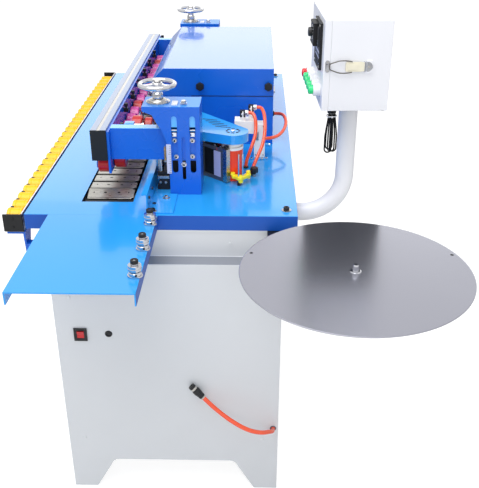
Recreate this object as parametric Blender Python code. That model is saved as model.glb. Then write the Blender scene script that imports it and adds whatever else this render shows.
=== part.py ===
"""Edge banding machine: a sheet-steel cabinet carrying a blue base plate with a
slatted feed chain, a height-adjustable press beam, a glue unit, a hooded trimming
bay, a roller rail, a tape tray and a control box on a bent pipe.

Metres, +Z up. +Y is the feed direction, +X is the side of the tape tray. The
origin is the middle of the whole machine's footprint, on the floor.
"""

import math

import bmesh
import bpy
from mathutils import Matrix, Vector

# ---------------------------------------------------------------- driving sizes
GAP = 0.0003  # clearance between pieces that touch
SHEET = 0.003  # folded sheet steel
FINE = 20  # sides of a small turned piece

# Cabinet
CAB_W = 0.587
CAB_L = 1.488
CAB_H = 0.737
CAB_X = -0.142  # middle of the cabinet across the feed
CAB_FRONT = -0.5044
FOOT = 0.060  # width of each foot at the floor
FOOT_PAD = 0.006  # floor plate inside each foot
ARCH_H = 0.102  # height of the leg arches
FLOOR_Z = 0.110
LEDGE = 0.045  # ledge between cabinet and riser

# Riser and base plate
PLATE_TOP = 0.85
PLATE_W = 0.680
PLATE_L = 1.394
PLATE_X = -0.153
PLATE_FRONT = -0.456
APRON = 0.040
RISER_INSET = 0.039  # from the cabinet's side to the riser's side

# Feed chain
CHAIN_W = 0.122
CHAIN_X = -0.299
CHAIN_TOP = 0.852
CHAIN_R = 0.076  # outside of the loop round a drum
LOOP_T = 0.016
PAD_PITCH = 0.0508
PAD_GAP = 0.006
PAD_STEP = 0.005  # depth of the gap between two pads
DRUM_FRONT = -0.294
CHAIN_RUN = 1.016  # straight run between the two drums
CHAIN_PADS_FLAT = round(CHAIN_RUN / PAD_PITCH)
WINDOW_CLEAR = 0.006

# Infeed table and fence
INFEED_W = 0.272
INFEED_L = 0.381
INFEED_X = -0.296
INFEED_LIP = 0.030
POST_X = -0.171
POST_YS = (-0.507, -0.639, -0.764)
FENCE_X = -0.185
FENCE_L = 0.305
FENCE_H = 0.050
FENCE_FLANGE = 0.014
FENCE_TAB = 0.063

# Roller rail
RAIL_W = 0.047
RAIL_X0 = PLATE_X - PLATE_W / 2 - 0.054
RAIL_FRONT = -0.452
RAIL_L = 1.400
RAIL_H = 0.050
ROLLER_R = 0.0225
ROLLER_PITCH = 0.050
ROLLERS = 27

# Press beam and its columns
BEAM_W = 0.040
BEAM_H = 0.080
BEAM_X0 = -0.340
BEAM_Z0 = 0.942
BEAM_FRONT = -0.320
BEAM_L = 1.186
CARRIER_T = 0.006
WHEEL_BOTTOM = 0.8995
WHEEL_A_R = 0.020
WHEEL_B_R = 0.028
WHEEL_W = 0.030
AXLE_R = 0.006
COLUMN_X0 = -0.1407
COLUMN_W = 0.0808
COLUMN_FRONT = -0.324
COLUMN_TOP = 1.0853
COLUMN_DEPTH = 0.092
COLUMN_T = 0.004
COLUMN_SPACING = 1.067  # front column to rear column
SPINDLE_X = -0.168
SPINDLE_Y = -0.277
SPINDLE_R = 0.008
WHEEL_Z = 1.130  # handwheel rim
RIM_R = 0.0435
RIM_TUBE = 0.0065

# Hood
HOOD_X0, HOOD_X1 = -0.232, 0.1335
HOOD_Y0 = 0.088
HOOD_Y1 = COLUMN_FRONT + COLUMN_SPACING - 0.020
HOOD_SEAM = 0.998
HOOD_TOP = 1.080
HOOD_T = 0.002
HOOD_CHAMFER = 0.036
PASSAGE_Z = 0.925  # panels pass under the hood's left side up to here

# Glue unit
MOTOR_X, MOTOR_Y, MOTOR_R = 0.018, -0.202, 0.0292
COVER_Z0, COVER_Z1 = 0.960, 0.985
COVER_END_R = 0.042
COVER_T = 0.002
POT_Z1 = 0.945
POT_ANGLE = math.radians(-42.7)
ROLL_X, ROLL_Y, ROLL_R = -0.155, -0.172, 0.020

# Pneumatics
HOSE_R = 0.005
FRONT_HOSE_R = 0.006

# Tape tray
TRAY_X, TRAY_Y, TRAY_R = 0.2974, -0.734, 0.250
TRAY_Z = 0.850
TRAY_T = 0.003
PIN_R = 0.006
PIN_UP = 0.017

# Control box on its pipe
PIPE_R = 0.024
PIPE_BEND = 0.110
PIPE_X = PLATE_X + PLATE_W / 2 + 0.130
PIPE_Y = -0.272
PIPE_Z = 0.780
BOX_X0, BOX_X1 = PIPE_X - 0.0803, PIPE_X + 0.0797  # before the box is turned on its pipe
BOX_Y0, BOX_Y1 = -0.359, -0.099
BOX_Z0, BOX_Z1 = 1.090, 1.305
BOX_YAW = math.radians(2.1)  # how far the box is turned round the pipe
BOX_T = 0.002
DOOR_D = 0.016
BUTTON_Y0 = -0.312
BUTTON_PITCH = 0.042
BUTTON_Z = 1.130
BUTTON_R = 0.011
COLLAR_L = 0.016
CAP_L = 0.013  # of the cap outside its collar
BUTTON_TRAVEL = 0.003
PANEL_T = 0.006  # controller's plate
DISPLAY_T = 0.018  # controller's raised half
LATCH_X, LATCH_Z = PIPE_X + 0.0175, 1.1985

# Cords
HANK_X, HANK_Y = PIPE_X - 0.0505, -0.331
HANK_SIZE = (0.030, 0.018, 0.105)  # across, deep, long
GLAND_L = 0.014


# ---------------------------------------------------------------- helpers
def clear_scene():
    for obj in list(bpy.data.objects):
        bpy.data.objects.remove(obj, do_unlink=True)


def material(name, colour, roughness=0.4, metallic=0.0):
    mat = bpy.data.materials.get(name) or bpy.data.materials.new(name)
    mat.use_nodes = True
    shader = mat.node_tree.nodes["Principled BSDF"]
    shader.inputs["Base Color"].default_value = (*colour, 1.0)
    shader.inputs["Roughness"].default_value = roughness
    shader.inputs["Metallic"].default_value = metallic
    return mat


def mesh_object(name, verts, faces):
    mesh = bpy.data.meshes.new(name)
    mesh.from_pydata(verts, [], faces)
    mesh.validate()
    bm = bmesh.new()
    bm.from_mesh(mesh)
    bmesh.ops.recalc_face_normals(bm, faces=bm.faces)
    bm.to_mesh(mesh)
    bm.free()
    obj = bpy.data.objects.new(name, mesh)
    bpy.context.collection.objects.link(obj)
    return obj


def box(x0, x1, y0, y1, z0, z1):
    verts = [(x, y, z) for x in (x0, x1) for y in (y0, y1) for z in (z0, z1)]
    faces = [(0, 1, 3, 2), (4, 6, 7, 5), (0, 4, 5, 1), (2, 3, 7, 6), (0, 2, 6, 4), (1, 5, 7, 3)]
    return mesh_object("box", verts, faces)


def prism(outline, axis, low, high):
    """Extrude a closed outline along X, Y or Z. Outline pairs are the other two axes in order."""
    def place(pair, level):
        point = list(pair)
        point.insert("XYZ".index(axis), level)
        return tuple(point)

    count = len(outline)
    verts = [place(p, low) for p in outline] + [place(p, high) for p in outline]
    faces = [tuple(range(count)), tuple(range(2 * count - 1, count - 1, -1))]
    for i in range(count):
        j = (i + 1) % count
        faces.append((i, j, count + j, count + i))
    return mesh_object("prism", verts, faces)


def turned(profile, centre, axis="Z", sides=FINE):
    """Revolve (radius, height) pairs, all at radius > 0, closed with flat ends, round an axis."""
    verts, faces = [], []
    for radius, height in profile:
        for i in range(sides):
            turn = 2 * math.pi * i / sides
            verts.append((radius * math.cos(turn), radius * math.sin(turn), height))
    rings = len(profile)
    for k in range(rings - 1):
        for i in range(sides):
            j = (i + 1) % sides
            faces.append((k * sides + i, k * sides + j, (k + 1) * sides + j, (k + 1) * sides + i))
    faces.append(tuple(range(sides)))
    faces.append(tuple(range((rings - 1) * sides, rings * sides)))
    obj = mesh_object("turned", verts, faces)
    turns = {"Z": Matrix(), "X": Matrix.Rotation(math.pi / 2, 4, "Y"),
             "Y": Matrix.Rotation(-math.pi / 2, 4, "X")}
    obj.data.transform(Matrix.Translation(centre) @ turns[axis])
    return obj


def rod(radius, low, high, centre, axis="Z", sides=FINE):
    return turned([(radius, low), (radius, high)], centre, axis, sides)


def torus(ring, tube, centre, around=28, sides=8):
    verts, faces = [], []
    for i in range(around):
        turn = 2 * math.pi * i / around
        for j in range(sides):
            roll = 2 * math.pi * j / sides
            reach = ring + tube * math.cos(roll)
            verts.append((reach * math.cos(turn), reach * math.sin(turn), tube * math.sin(roll)))
            a, b = i * sides + j, i * sides + (j + 1) % sides
            c, d = ((i + 1) % around) * sides + (j + 1) % sides, ((i + 1) % around) * sides + j
            faces.append((a, b, c, d))
    obj = mesh_object("torus", verts, faces)
    obj.data.transform(Matrix.Translation(centre))
    return obj


def combine(name, solids, cuts=(), mat=None):
    """Union the solids, subtract the cuts, and leave one object with its own mesh."""
    base = solids[0]
    steps = [(piece, "UNION") for piece in solids[1:]] + [(piece, "DIFFERENCE") for piece in cuts]
    for piece, operation in steps:
        modifier = base.modifiers.new(operation.title(), "BOOLEAN")
        modifier.operation = operation
        modifier.solver = "EXACT"
        modifier.object = piece
    if steps:
        graph = bpy.context.evaluated_depsgraph_get()
        base.data = bpy.data.meshes.new_from_object(base.evaluated_get(graph))
        base.modifiers.clear()
        for piece, _ in steps:
            bpy.data.objects.remove(piece, do_unlink=True)
    base.name = name
    base.data.name = name
    if mat:
        base.data.materials.clear()
        base.data.materials.append(mat)
    return base


def set_origin(obj, point):
    """Put the object's origin on its joint's axis without moving its shape."""
    obj.data.transform(Matrix.Translation(-Vector(point)))
    obj.location = point
    return obj


def turn_with_box(obj):
    """Turn an object of the control box round the pipe, its origin with it."""
    pivot = Matrix.Translation((PIPE_X, PIPE_Y, 0))
    turn = pivot @ Matrix.Rotation(BOX_YAW, 4, "Z") @ pivot.inverted()
    origin = obj.location.copy()
    obj.data.transform(turn @ Matrix.Translation(origin))
    return set_origin(obj, turn @ origin if origin.length else origin)


def smooth(obj):
    obj.data.shade_smooth()
    obj.data.set_sharp_from_angle(angle=math.radians(35))
    return obj


def curve_points(route, step):
    """Read evenly spaced points from a smooth curve through the route's points."""
    ends = [2 * Vector(route[0]) - Vector(route[1])] + [Vector(p) for p in route]
    ends.append(2 * Vector(route[-1]) - Vector(route[-2]))
    dense = []
    for a, b, c, d in zip(ends, ends[1:], ends[2:], ends[3:]):
        for i in range(24):
            t = i / 24
            dense.append(0.5 * (2 * b + (c - a) * t + (2 * a - 5 * b + 4 * c - d) * t * t
                                + (3 * b - a - 3 * c + d) * t ** 3))
    dense.append(Vector(route[-1]))
    total = sum((q - p).length for p, q in zip(dense, dense[1:]))
    count = max(3, round(total / step))
    points, walked, target = [dense[0]], 0.0, total / count
    for p, q in zip(dense, dense[1:]):
        span = (q - p).length
        while span and walked + span >= target * len(points) and len(points) < count:
            points.append(p.lerp(q, (target * len(points) - walked) / span))
        walked += span
    points.append(dense[-1])
    return points


def tube(name, points, radius, mat, resolution=2):
    curve = bpy.data.curves.new(name, "CURVE")
    curve.dimensions = "3D"
    spline = curve.splines.new("POLY")
    spline.points.add(len(points) - 1)
    for target, point in zip(spline.points, points):
        target.co = (*point, 1.0)
    curve.bevel_depth = radius
    curve.bevel_resolution = resolution
    curve.use_fill_caps = True
    obj = bpy.data.objects.new(name, curve)
    bpy.context.collection.objects.link(obj)
    curve.materials.append(mat)
    return obj


def arc(cx, cy, radius, start, end, steps=6):
    turns = [math.radians(start + (end - start) * i / steps) for i in range(steps + 1)]
    return [(cx + radius * math.cos(turn), cy + radius * math.sin(turn)) for turn in turns]


def slot_outline(cx, low, high, width):
    half = width / 2
    return arc(cx, high - half, half, 0, 180) + arc(cx, low + half, half, 180, 360)


# ---------------------------------------------------------------- materials
clear_scene()
GREY = material("cabinet_grey", (0.62, 0.64, 0.67), 0.35)
BLUE = material("machine_blue", (0.02, 0.13, 0.62), 0.15)
YELLOW = material("roller_yellow", (0.95, 0.72, 0.02), 0.4)
BLACK = material("black_plastic", (0.02, 0.02, 0.022), 0.45)
ALU = material("bare_aluminium", (0.78, 0.79, 0.81), 0.35, 1.0)
STEEL = material("bright_steel", (0.6, 0.6, 0.62), 0.3, 1.0)
CHROME = material("chrome", (0.85, 0.85, 0.87), 0.08, 1.0)
RED_RUBBER = material("red_polyurethane", (0.45, 0.01, 0.02), 0.4)
ORANGE = material("orange_paint", (0.9, 0.12, 0.02), 0.35)
HOSE_ORANGE = material("orange_hose", (0.85, 0.15, 0.04), 0.3)
CREAM = material("cream_enamel", (0.78, 0.75, 0.7), 0.4)
WHITE = material("white_enamel", (0.8, 0.8, 0.82), 0.3)
DARK = material("dark_casting", (0.08, 0.09, 0.1), 0.5)
SATIN = material("satin_tray", (0.35, 0.35, 0.38), 0.4, 0.8)
RED = material("red_cap", (0.7, 0.02, 0.02), 0.3)
GREEN = material("green_cap", (0.05, 0.7, 0.25), 0.3)

CAB_X0, CAB_X1 = CAB_X - CAB_W / 2, CAB_X + CAB_W / 2
CAB_BACK = CAB_FRONT + CAB_L
RISER_X0, RISER_X1 = CAB_X0 + RISER_INSET, CAB_X1 - RISER_INSET
PLATE_BACK = PLATE_FRONT + PLATE_L
PLATE_X0, PLATE_X1 = PLATE_X - PLATE_W / 2, PLATE_X + PLATE_W / 2
RISER_Z0 = CAB_H + GAP
RISER_Z1 = PLATE_TOP - APRON - GAP
ON_PLATE = PLATE_TOP + GAP
DRUM_Z = CHAIN_TOP - CHAIN_R
DRUM_REAR = DRUM_FRONT + CHAIN_PADS_FLAT * PAD_PITCH
CHAIN_X0, CHAIN_X1 = CHAIN_X - CHAIN_W / 2, CHAIN_X + CHAIN_W / 2


# ---------------------------------------------------------------- cabinet and plate
def arch(low, high):
    """Leg arch between two corners: slanting sides, rounded shoulders, flat top."""
    shoulder = 0.024
    left = [(low + FOOT, -0.01), (low + FOOT + 0.050, ARCH_H - shoulder)]
    left += arc(low + FOOT + 0.076, ARCH_H - shoulder, shoulder, 170, 90, 4)
    right = [(low + high - x, z) for x, z in reversed(left)]
    return left + right


def make_cabinet():
    x0, x1, y0, y1 = CAB_X0 + SHEET, CAB_X1 - SHEET, CAB_FRONT + SHEET, CAB_BACK - SHEET
    shell = box(CAB_X0, CAB_X1, CAB_FRONT, CAB_BACK, 0, CAB_H)
    cuts = [
        box(x0, x1, y0, y1, FLOOR_Z + SHEET, CAB_H - SHEET),
        box(x0, x1, y0, y1, -0.01, FLOOR_Z),
        box(RISER_X0 + LEDGE / 3, RISER_X1 - LEDGE / 3, CAB_FRONT + LEDGE * 4 / 3,
            CAB_BACK - LEDGE * 4 / 3, CAB_H - 0.02, CAB_H + 0.01),
        prism(arch(CAB_X0, CAB_X1), "Y", CAB_FRONT - 0.01, CAB_BACK + 0.01),
        prism(arch(CAB_FRONT, CAB_BACK), "X", CAB_X0 - 0.01, CAB_X1 + 0.01),
        box(SWITCH_X - 0.0125, SWITCH_X + 0.0125, CAB_FRONT - 0.01, CAB_FRONT + 0.01,
            SWITCH_Z - 0.014, SWITCH_Z + 0.014),
        rod(FRONT_HOSE_R + 0.0009, -0.01, 0.01, (HOSE_ROUTE[0][0], CAB_FRONT, HOSE_ROUTE[0][2]), "Y"),
        rod(0.009, -0.01, 0.01, (-0.298, CAB_FRONT, 0.530), "Y"),
    ]
    pads = []
    for a, b in ((CAB_X0, CAB_X0 + FOOT), (CAB_X1 - FOOT, CAB_X1)):
        for c, d in ((CAB_FRONT, CAB_FRONT + FOOT), (CAB_BACK - FOOT, CAB_BACK)):
            pads.append(box(a + 0.001, b - 0.001, c + 0.001, d - 0.001, 0, FOOT_PAD))
    return combine("cabinet", [combine("cabinet", [shell], cuts)] + pads, mat=GREY)


def make_riser():
    outer = box(RISER_X0, RISER_X1, PLATE_FRONT, PLATE_BACK, RISER_Z0, RISER_Z1)
    hollow = box(RISER_X0 + SHEET, RISER_X1 - SHEET, PLATE_FRONT + SHEET, PLATE_BACK - SHEET,
                 RISER_Z0 - 0.01, RISER_Z1 + 0.01)
    return combine("riser_frame", [outer], [hollow], GREY)


def make_plate():
    under = PLATE_TOP - SHEET
    low = PLATE_TOP - APRON
    outer = box(PLATE_X0, PLATE_X1, PLATE_FRONT, PLATE_BACK, low, PLATE_TOP)
    rib = 0.008
    hollows = [
        box(PLATE_X0 + SHEET, RISER_X0, PLATE_FRONT + SHEET, PLATE_BACK - SHEET, low - 0.01, under),
        box(RISER_X0 + rib, RISER_X1 - rib, PLATE_FRONT + SHEET, PLATE_BACK - SHEET, low - 0.01, under),
        box(RISER_X1, PLATE_X1 - SHEET, PLATE_FRONT + SHEET, PLATE_BACK - SHEET, low - 0.01, under),
        box(CHAIN_X0 - WINDOW_CLEAR, CHAIN_X1 + WINDOW_CLEAR, DRUM_FRONT - CHAIN_R - WINDOW_CLEAR,
            DRUM_REAR + CHAIN_R + WINDOW_CLEAR, under - 0.01, PLATE_TOP + 0.01),
    ]
    return combine("base_plate", [outer], hollows, BLUE)


# ---------------------------------------------------------------- feed chain
def chain_outline(outer, pads):
    """Side view of the loop, front drum first, anticlockwise from the lower run's rear end."""
    if not pads:
        return arc(DRUM_FRONT, DRUM_Z, outer, 270, 90, 10) + arc(DRUM_REAR, DRUM_Z, outer, 90, -90, 10)
    half_gap, floor = PAD_GAP / 2, outer - PAD_STEP
    tooth = ((half_gap, outer), (PAD_PITCH - half_gap, outer),
             (PAD_PITCH - half_gap, floor), (PAD_PITCH + half_gap, floor))
    points = []
    for side, middle in ((-1, DRUM_FRONT), (1, DRUM_REAR)):
        for k in range(CHAIN_PADS_FLAT):
            for along, height in tooth:
                y = DRUM_REAR + DRUM_FRONT - middle + side * (k * PAD_PITCH + along)
                points.append((y, DRUM_Z + side * height))
        points.pop()
        first = 180 - side * 90
        points += arc(middle, DRUM_Z, outer, first - 6, first - 174, 12)
    return points


def make_chain():
    outer = prism(chain_outline(CHAIN_R, True), "X", CHAIN_X0, CHAIN_X1)
    inner = prism(chain_outline(CHAIN_R - LOOP_T, False), "X", CHAIN_X0 - 0.01, CHAIN_X1 + 0.01)
    return combine("feed_chain", [outer], [inner], STEEL)


def make_drum(name, y, shaft_right):
    # A polygon drum lies just inside the loop's polygon, clear of it as it turns.
    loop_inside = (CHAIN_R - LOOP_T) * math.cos(math.radians(9)) - 0.0004
    profile = [(SHAFT_R, -SIDE_X), (SHAFT_R, -CHAIN_W / 2), (loop_inside, -CHAIN_W / 2 + 0.0002),
               (loop_inside, CHAIN_W / 2 - 0.0002), (SHAFT_R, CHAIN_W / 2), (SHAFT_R, shaft_right)]
    drum = turned(profile, (CHAIN_X, y, DRUM_Z), "X", 24)
    return smooth(set_origin(combine(name, [drum], mat=STEEL), (CHAIN_X, y, DRUM_Z)))


SHAFT_R = 0.010
SIDE_T = 0.004
SIDE_X = CHAIN_W / 2 + 0.0015 + SIDE_T  # from the chain's middle to a side plate's outside


def make_chain_bed():
    inside = CHAIN_R - LOOP_T - 0.004
    bars = [box(CHAIN_X - 0.045, CHAIN_X + 0.045, DRUM_FRONT + CHAIN_R, DRUM_REAR - CHAIN_R,
                DRUM_Z + 0.018, DRUM_Z + inside)]
    for y in (DRUM_FRONT + 0.14, DRUM_REAR - 0.14):
        bars.append(box(RISER_X0 + SHEET + GAP, RISER_X1 - SHEET - GAP, y, y + 0.03,
                        DRUM_Z - 0.012, DRUM_Z + 0.022))
    low, high = DRUM_Z - 0.030, DRUM_Z + 0.030
    for side in (-1, 1):
        a, b = sorted((CHAIN_X + side * (SIDE_X - SIDE_T), CHAIN_X + side * SIDE_X))
        bars.append(box(a, b, DRUM_FRONT - 0.03, DRUM_REAR + 0.03, low, high))
    holes = [rod(SHAFT_R + 0.0005, -0.1, 0.1, (CHAIN_X, y, DRUM_Z), "X", 24)
             for y in (DRUM_FRONT, DRUM_REAR)]
    return combine("chain_bed", bars, holes, DARK)


def make_gear_motor():
    x0 = CHAIN_X + SIDE_X + GAP
    y = DRUM_REAR
    casing = box(x0, x0 + 0.09, y - 0.055, y + 0.055, DRUM_Z - 0.055, DRUM_Z + 0.030)
    bore = rod(SHAFT_R + 0.0005, -0.02, 0.061, (x0, y, DRUM_Z), "X", 24)
    motor = turned([(0.055, -0.24), (0.062, -0.23), (0.062, -0.07), (0.045, -0.065), (0.045, 0)],
                   (x0 + 0.045, y, DRUM_Z - 0.05), "Z", 20)
    return combine("gear_motor", [casing, motor], [bore], DARK)


# ---------------------------------------------------------------- infeed, posts, fence
def make_infeed():
    x0, x1 = INFEED_X - INFEED_W / 2, INFEED_X + INFEED_W / 2
    y1 = PLATE_FRONT - GAP
    y0 = y1 - INFEED_L
    top = box(x0, x1, y0, y1, PLATE_TOP - INFEED_LIP, PLATE_TOP)
    hollow = box(x0 + SHEET, x1 - SHEET, y0 - 0.01, y1 - SHEET,
                 PLATE_TOP - INFEED_LIP - 0.01, PLATE_TOP - SHEET)
    return combine("infeed_table", [top], [hollow], BLUE)


def make_post(index, y):
    profile = [(0.014, 0), (0.014, 0.004), (0.0125, 0.0043), (0.0125, 0.0120), (0.008, 0.0123),
               (0.008, 0.0150), (0.005, 0.0153), (0.005, 0.0275), (0.008, 0.0278), (0.008, 0.0380)]
    post = turned(profile, (POST_X, y, ON_PLATE), sides=16)
    return smooth(combine(f"guide_post_{index}", [post], mat=STEEL))


def make_guide_roller(index, y):
    ring = rod(0.0145, 0.0156, 0.0272, (POST_X, y, ON_PLATE), sides=20)
    bore = rod(0.0055, 0, 0.06, (POST_X, y, ON_PLATE), sides=16)
    obj = combine(f"guide_roller_{index}", [ring], [bore], CHROME)
    return smooth(set_origin(obj, (POST_X, y, ON_PLATE + 0.0214)))


def make_fence():
    y0 = PLATE_FRONT + 0.011
    t = SHEET
    wall = box(FENCE_X - t, FENCE_X, y0, y0 + FENCE_L, ON_PLATE, ON_PLATE + FENCE_H)
    flange = box(FENCE_X - FENCE_FLANGE, FENCE_X - t / 2, y0, y0 + FENCE_L,
                 ON_PLATE + FENCE_H - t, ON_PLATE + FENCE_H)
    tab = box(FENCE_X - t / 2, FENCE_X + FENCE_TAB, y0 - 0.003, COLUMN_FRONT - 0.003,
              ON_PLATE, ON_PLATE + t)
    slot = prism(slot_outline(FENCE_X + 0.036, y0 + 0.085, y0 + 0.100, 0.008), "Z",
                 ON_PLATE - 0.01, ON_PLATE + 0.01)
    return combine("guide_fence", [wall, flange, tab], [slot], BLUE)


# ---------------------------------------------------------------- roller rail
def make_rail():
    x0, x1 = RAIL_X0, RAIL_X0 + RAIL_W
    z1 = PLATE_TOP - 0.0015
    z0 = z1 - RAIL_H
    y0 = RAIL_FRONT + GAP
    y1 = y0 + RAIL_L
    wall = 0.0025
    outline = [(x0, z0), (x1, z0), (x1, z1), (x1 - wall, z1), (x1 - wall, z0 + wall),
               (x0 + wall, z0 + wall), (x0 + wall, z1 - 0.012), (x0, z1 - 0.012)]
    return combine("roller_rail", [prism(outline, "Y", y0, y1)], mat=ALU)


def make_rail_rollers():
    x0, x1 = RAIL_X0 + 0.0035, RAIL_X0 + RAIL_W - 0.0035
    z = PLATE_TOP - ROLLER_R
    first = RAIL_FRONT + 0.030
    last = first + (ROLLERS - 1) * ROLLER_PITCH
    middle = (x0 + x1) / 2
    pieces = [box(middle - 0.004, middle + 0.004, first, last, z - 0.006, z + 0.006)]
    pieces += [rod(ROLLER_R, x0, x1, (0, first + k * ROLLER_PITCH, z), "X", 14) for k in range(ROLLERS)]
    return combine("rail_rollers", pieces, mat=YELLOW)


def make_rail_bracket():
    z1 = PLATE_TOP - 0.0015 - RAIL_H - GAP
    leg_x = RAIL_X0 + RAIL_W + 0.002
    y0, y1 = RAIL_FRONT, RAIL_FRONT + 0.050
    shelf = box(RAIL_X0 + 0.004, leg_x, y0, y1, z1 - 0.005, z1)
    leg = prism([(y0, z1), (y0, z1 - 0.014), (y0 + 0.006, CAB_H - 0.002), (y0 + 0.030, CAB_H - 0.002),
                 (y1, z1 - 0.014), (y1, z1)], "X", leg_x - 0.005, leg_x)
    arm = box(leg_x - 0.001, RISER_X0 - GAP, y0 + 0.004, y0 + 0.028, CAB_H + 0.004, CAB_H + 0.026)
    return combine("rail_bracket_front", [shelf, leg, arm], mat=BLUE)


# ---------------------------------------------------------------- press beam
def make_beam():
    x0, x1, z0, z1 = BEAM_X0, BEAM_X0 + BEAM_W, BEAM_Z0, BEAM_Z0 + BEAM_H
    y0, y1 = BEAM_FRONT, BEAM_FRONT + BEAM_L
    mid = (x0 + x1) / 2
    cuts = [box(mid - 0.004, mid + 0.004, y0 - 0.01, y1 + 0.01, z1 - 0.005, z1 + 0.01)]
    for side_z in (z0 + 0.020, z0 + 0.060):
        cuts.append(box(x0 - 0.01, x0 + 0.005, y0 - 0.01, y1 + 0.01, side_z - 0.004, side_z + 0.004))
        cuts.append(box(mid - 0.010, mid + 0.010, y0 - 0.01, y1 + 0.01, side_z - 0.010, side_z + 0.010))
    return combine("press_beam", [box(x0, x1, y0, y1, z0, z1)], cuts, ALU)


CARRIER_X0 = BEAM_X0 + BEAM_W + GAP
CARRIER_X1 = CARRIER_X0 + CARRIER_T
WHEEL_A_Y, WHEEL_B_Y = -0.288, -0.252
WHEEL_A_Z, WHEEL_B_Z = WHEEL_BOTTOM + WHEEL_A_R, WHEEL_BOTTOM + WHEEL_B_R
WHEEL_A_X1 = CARRIER_X0 - 0.0010
WHEEL_B_X0 = CARRIER_X1 + 0.0010


def make_carrier():
    """Side plate bolted along the beam, with a stub axle for each press wheel."""
    plate = box(CARRIER_X0, CARRIER_X1, BEAM_FRONT + 0.002, BEAM_FRONT + BEAM_L - 0.002, 0.905, 1.018)
    end_a = WHEEL_A_X1 - WHEEL_W - GAP * 2
    end_b = WHEEL_B_X0 + WHEEL_W + GAP * 2
    axles = [
        rod(AXLE_R, end_a - 0.004, CARRIER_X0 + 0.001, (0, WHEEL_A_Y, WHEEL_A_Z), "X", 14),
        rod(AXLE_R + 0.003, end_a - 0.004, end_a, (0, WHEEL_A_Y, WHEEL_A_Z), "X", 14),
        rod(AXLE_R, CARRIER_X1 - 0.001, end_b + 0.004, (0, WHEEL_B_Y, WHEEL_B_Z), "X", 14),
        rod(AXLE_R + 0.003, end_b, end_b + 0.004, (0, WHEEL_B_Y, WHEEL_B_Z), "X", 14),
    ]
    return combine("wheel_carrier", [plate] + axles, mat=BLUE)


def make_press_wheel(index, x0, y, z, radius):
    tyre = rod(radius, x0, x0 + WHEEL_W, (0, y, z), "X", 24)
    bore = rod(AXLE_R + 0.0006, x0 - 0.01, x0 + WHEEL_W + 0.01, (0, y, z), "X", 14)
    obj = combine(f"press_wheel_{index}", [tyre], [bore], RED_RUBBER)
    return smooth(set_origin(obj, (x0 + WHEEL_W / 2, y, z)))


def make_arm(name, shift):
    """Folded arm from the carrier to the slide behind the column's face, with the spindle nut."""
    y = BEAM_FRONT + 0.023 + shift
    x0 = CARRIER_X1 + GAP
    top, low = BEAM_Z0 + BEAM_H - 0.002, BEAM_Z0 - 0.005
    x1 = COLUMN_X0 + COLUMN_W - COLUMN_T - 0.003
    slide_y = COLUMN_FRONT + shift + COLUMN_T + 0.0005
    pieces = [
        box(x0, x1, y, y + 0.004, low, top),
        box(x0, x0 + 0.004, y, y + 0.012, low, top),
        box(x0, SPINDLE_X + 0.020, y, y + 0.034, top - 0.004, top),
        box(SPINDLE_X - 0.020, SPINDLE_X + 0.020, y + 0.001, y + 0.040, low + 0.013, top - 0.010),
        box(COLUMN_X0 + 0.006, x1, slide_y, y + 0.001, low + 0.006, top - 0.004),
    ]
    bore = rod(SPINDLE_R + 0.0004, 0.8, 1.1, (SPINDLE_X, SPINDLE_Y + shift, 0))
    return combine(name, pieces, [bore], BLUE)


def make_column(name, shift):
    """Folded column: slotted face with a flared head, right flange, top plate and foot."""
    x0, x1 = COLUMN_X0, COLUMN_X0 + COLUMN_W
    y0 = COLUMN_FRONT + shift
    y1 = y0 + COLUMN_DEPTH
    z0, z1 = ON_PLATE, COLUMN_TOP
    head = SPINDLE_X - 0.037
    face = [(x0, z0), (x1, z0), (x1, z1), (head, z1), (head, z1 - 0.011),
            (head + 0.025, z1 - 0.021), (head + 0.036, z1 - 0.042), (head + 0.046, z1 - 0.057),
            (head + 0.057, z1 - 0.085), (x0, z1 - 0.115)]
    pieces = [
        prism(face, "Y", y0, y0 + COLUMN_T),
        box(x1 - COLUMN_T, x1, y0 + 0.001, y1, z0, z1),
        box(head, x1, y0 + 0.001, y1, z1 - 0.005, z1),
        box(x0, x1, y0 + 0.001, y1, z0, z0 + COLUMN_T),
    ]
    reach = (y0 - 0.01, y0 + COLUMN_T + 0.002)
    cuts = [
        prism(slot_outline(x0 + 0.0157, z0 + 0.060, z0 + 0.212, 0.015), "Y", *reach),
        prism(slot_outline(x0 + 0.0620, z0 + 0.060, z0 + 0.212, 0.015), "Y", *reach),
        prism(slot_outline(x0 + 0.0382, z0 + 0.041, z0 + 0.157, 0.009), "Y", *reach),
        rod(SPINDLE_R + 0.0003, z1 - 0.02, z1 + 0.01, (SPINDLE_X, SPINDLE_Y + shift, 0)),
    ]
    return combine(name, pieces, cuts, BLUE)


def make_spindle(name, shift):
    z1 = COLUMN_TOP
    neck = SPINDLE_R - 0.001
    profile = [(SPINDLE_R, 0.893), (SPINDLE_R, z1 + GAP), (0.0135, z1 + GAP + 0.0001),
               (0.0135, z1 + 0.010), (neck, z1 + 0.0102), (neck, WHEEL_Z + 0.008)]
    point = (SPINDLE_X, SPINDLE_Y + shift, 0)
    obj = combine(name, [turned(profile, point)], mat=STEEL)
    return smooth(set_origin(obj, (point[0], point[1], z1)))


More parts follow.
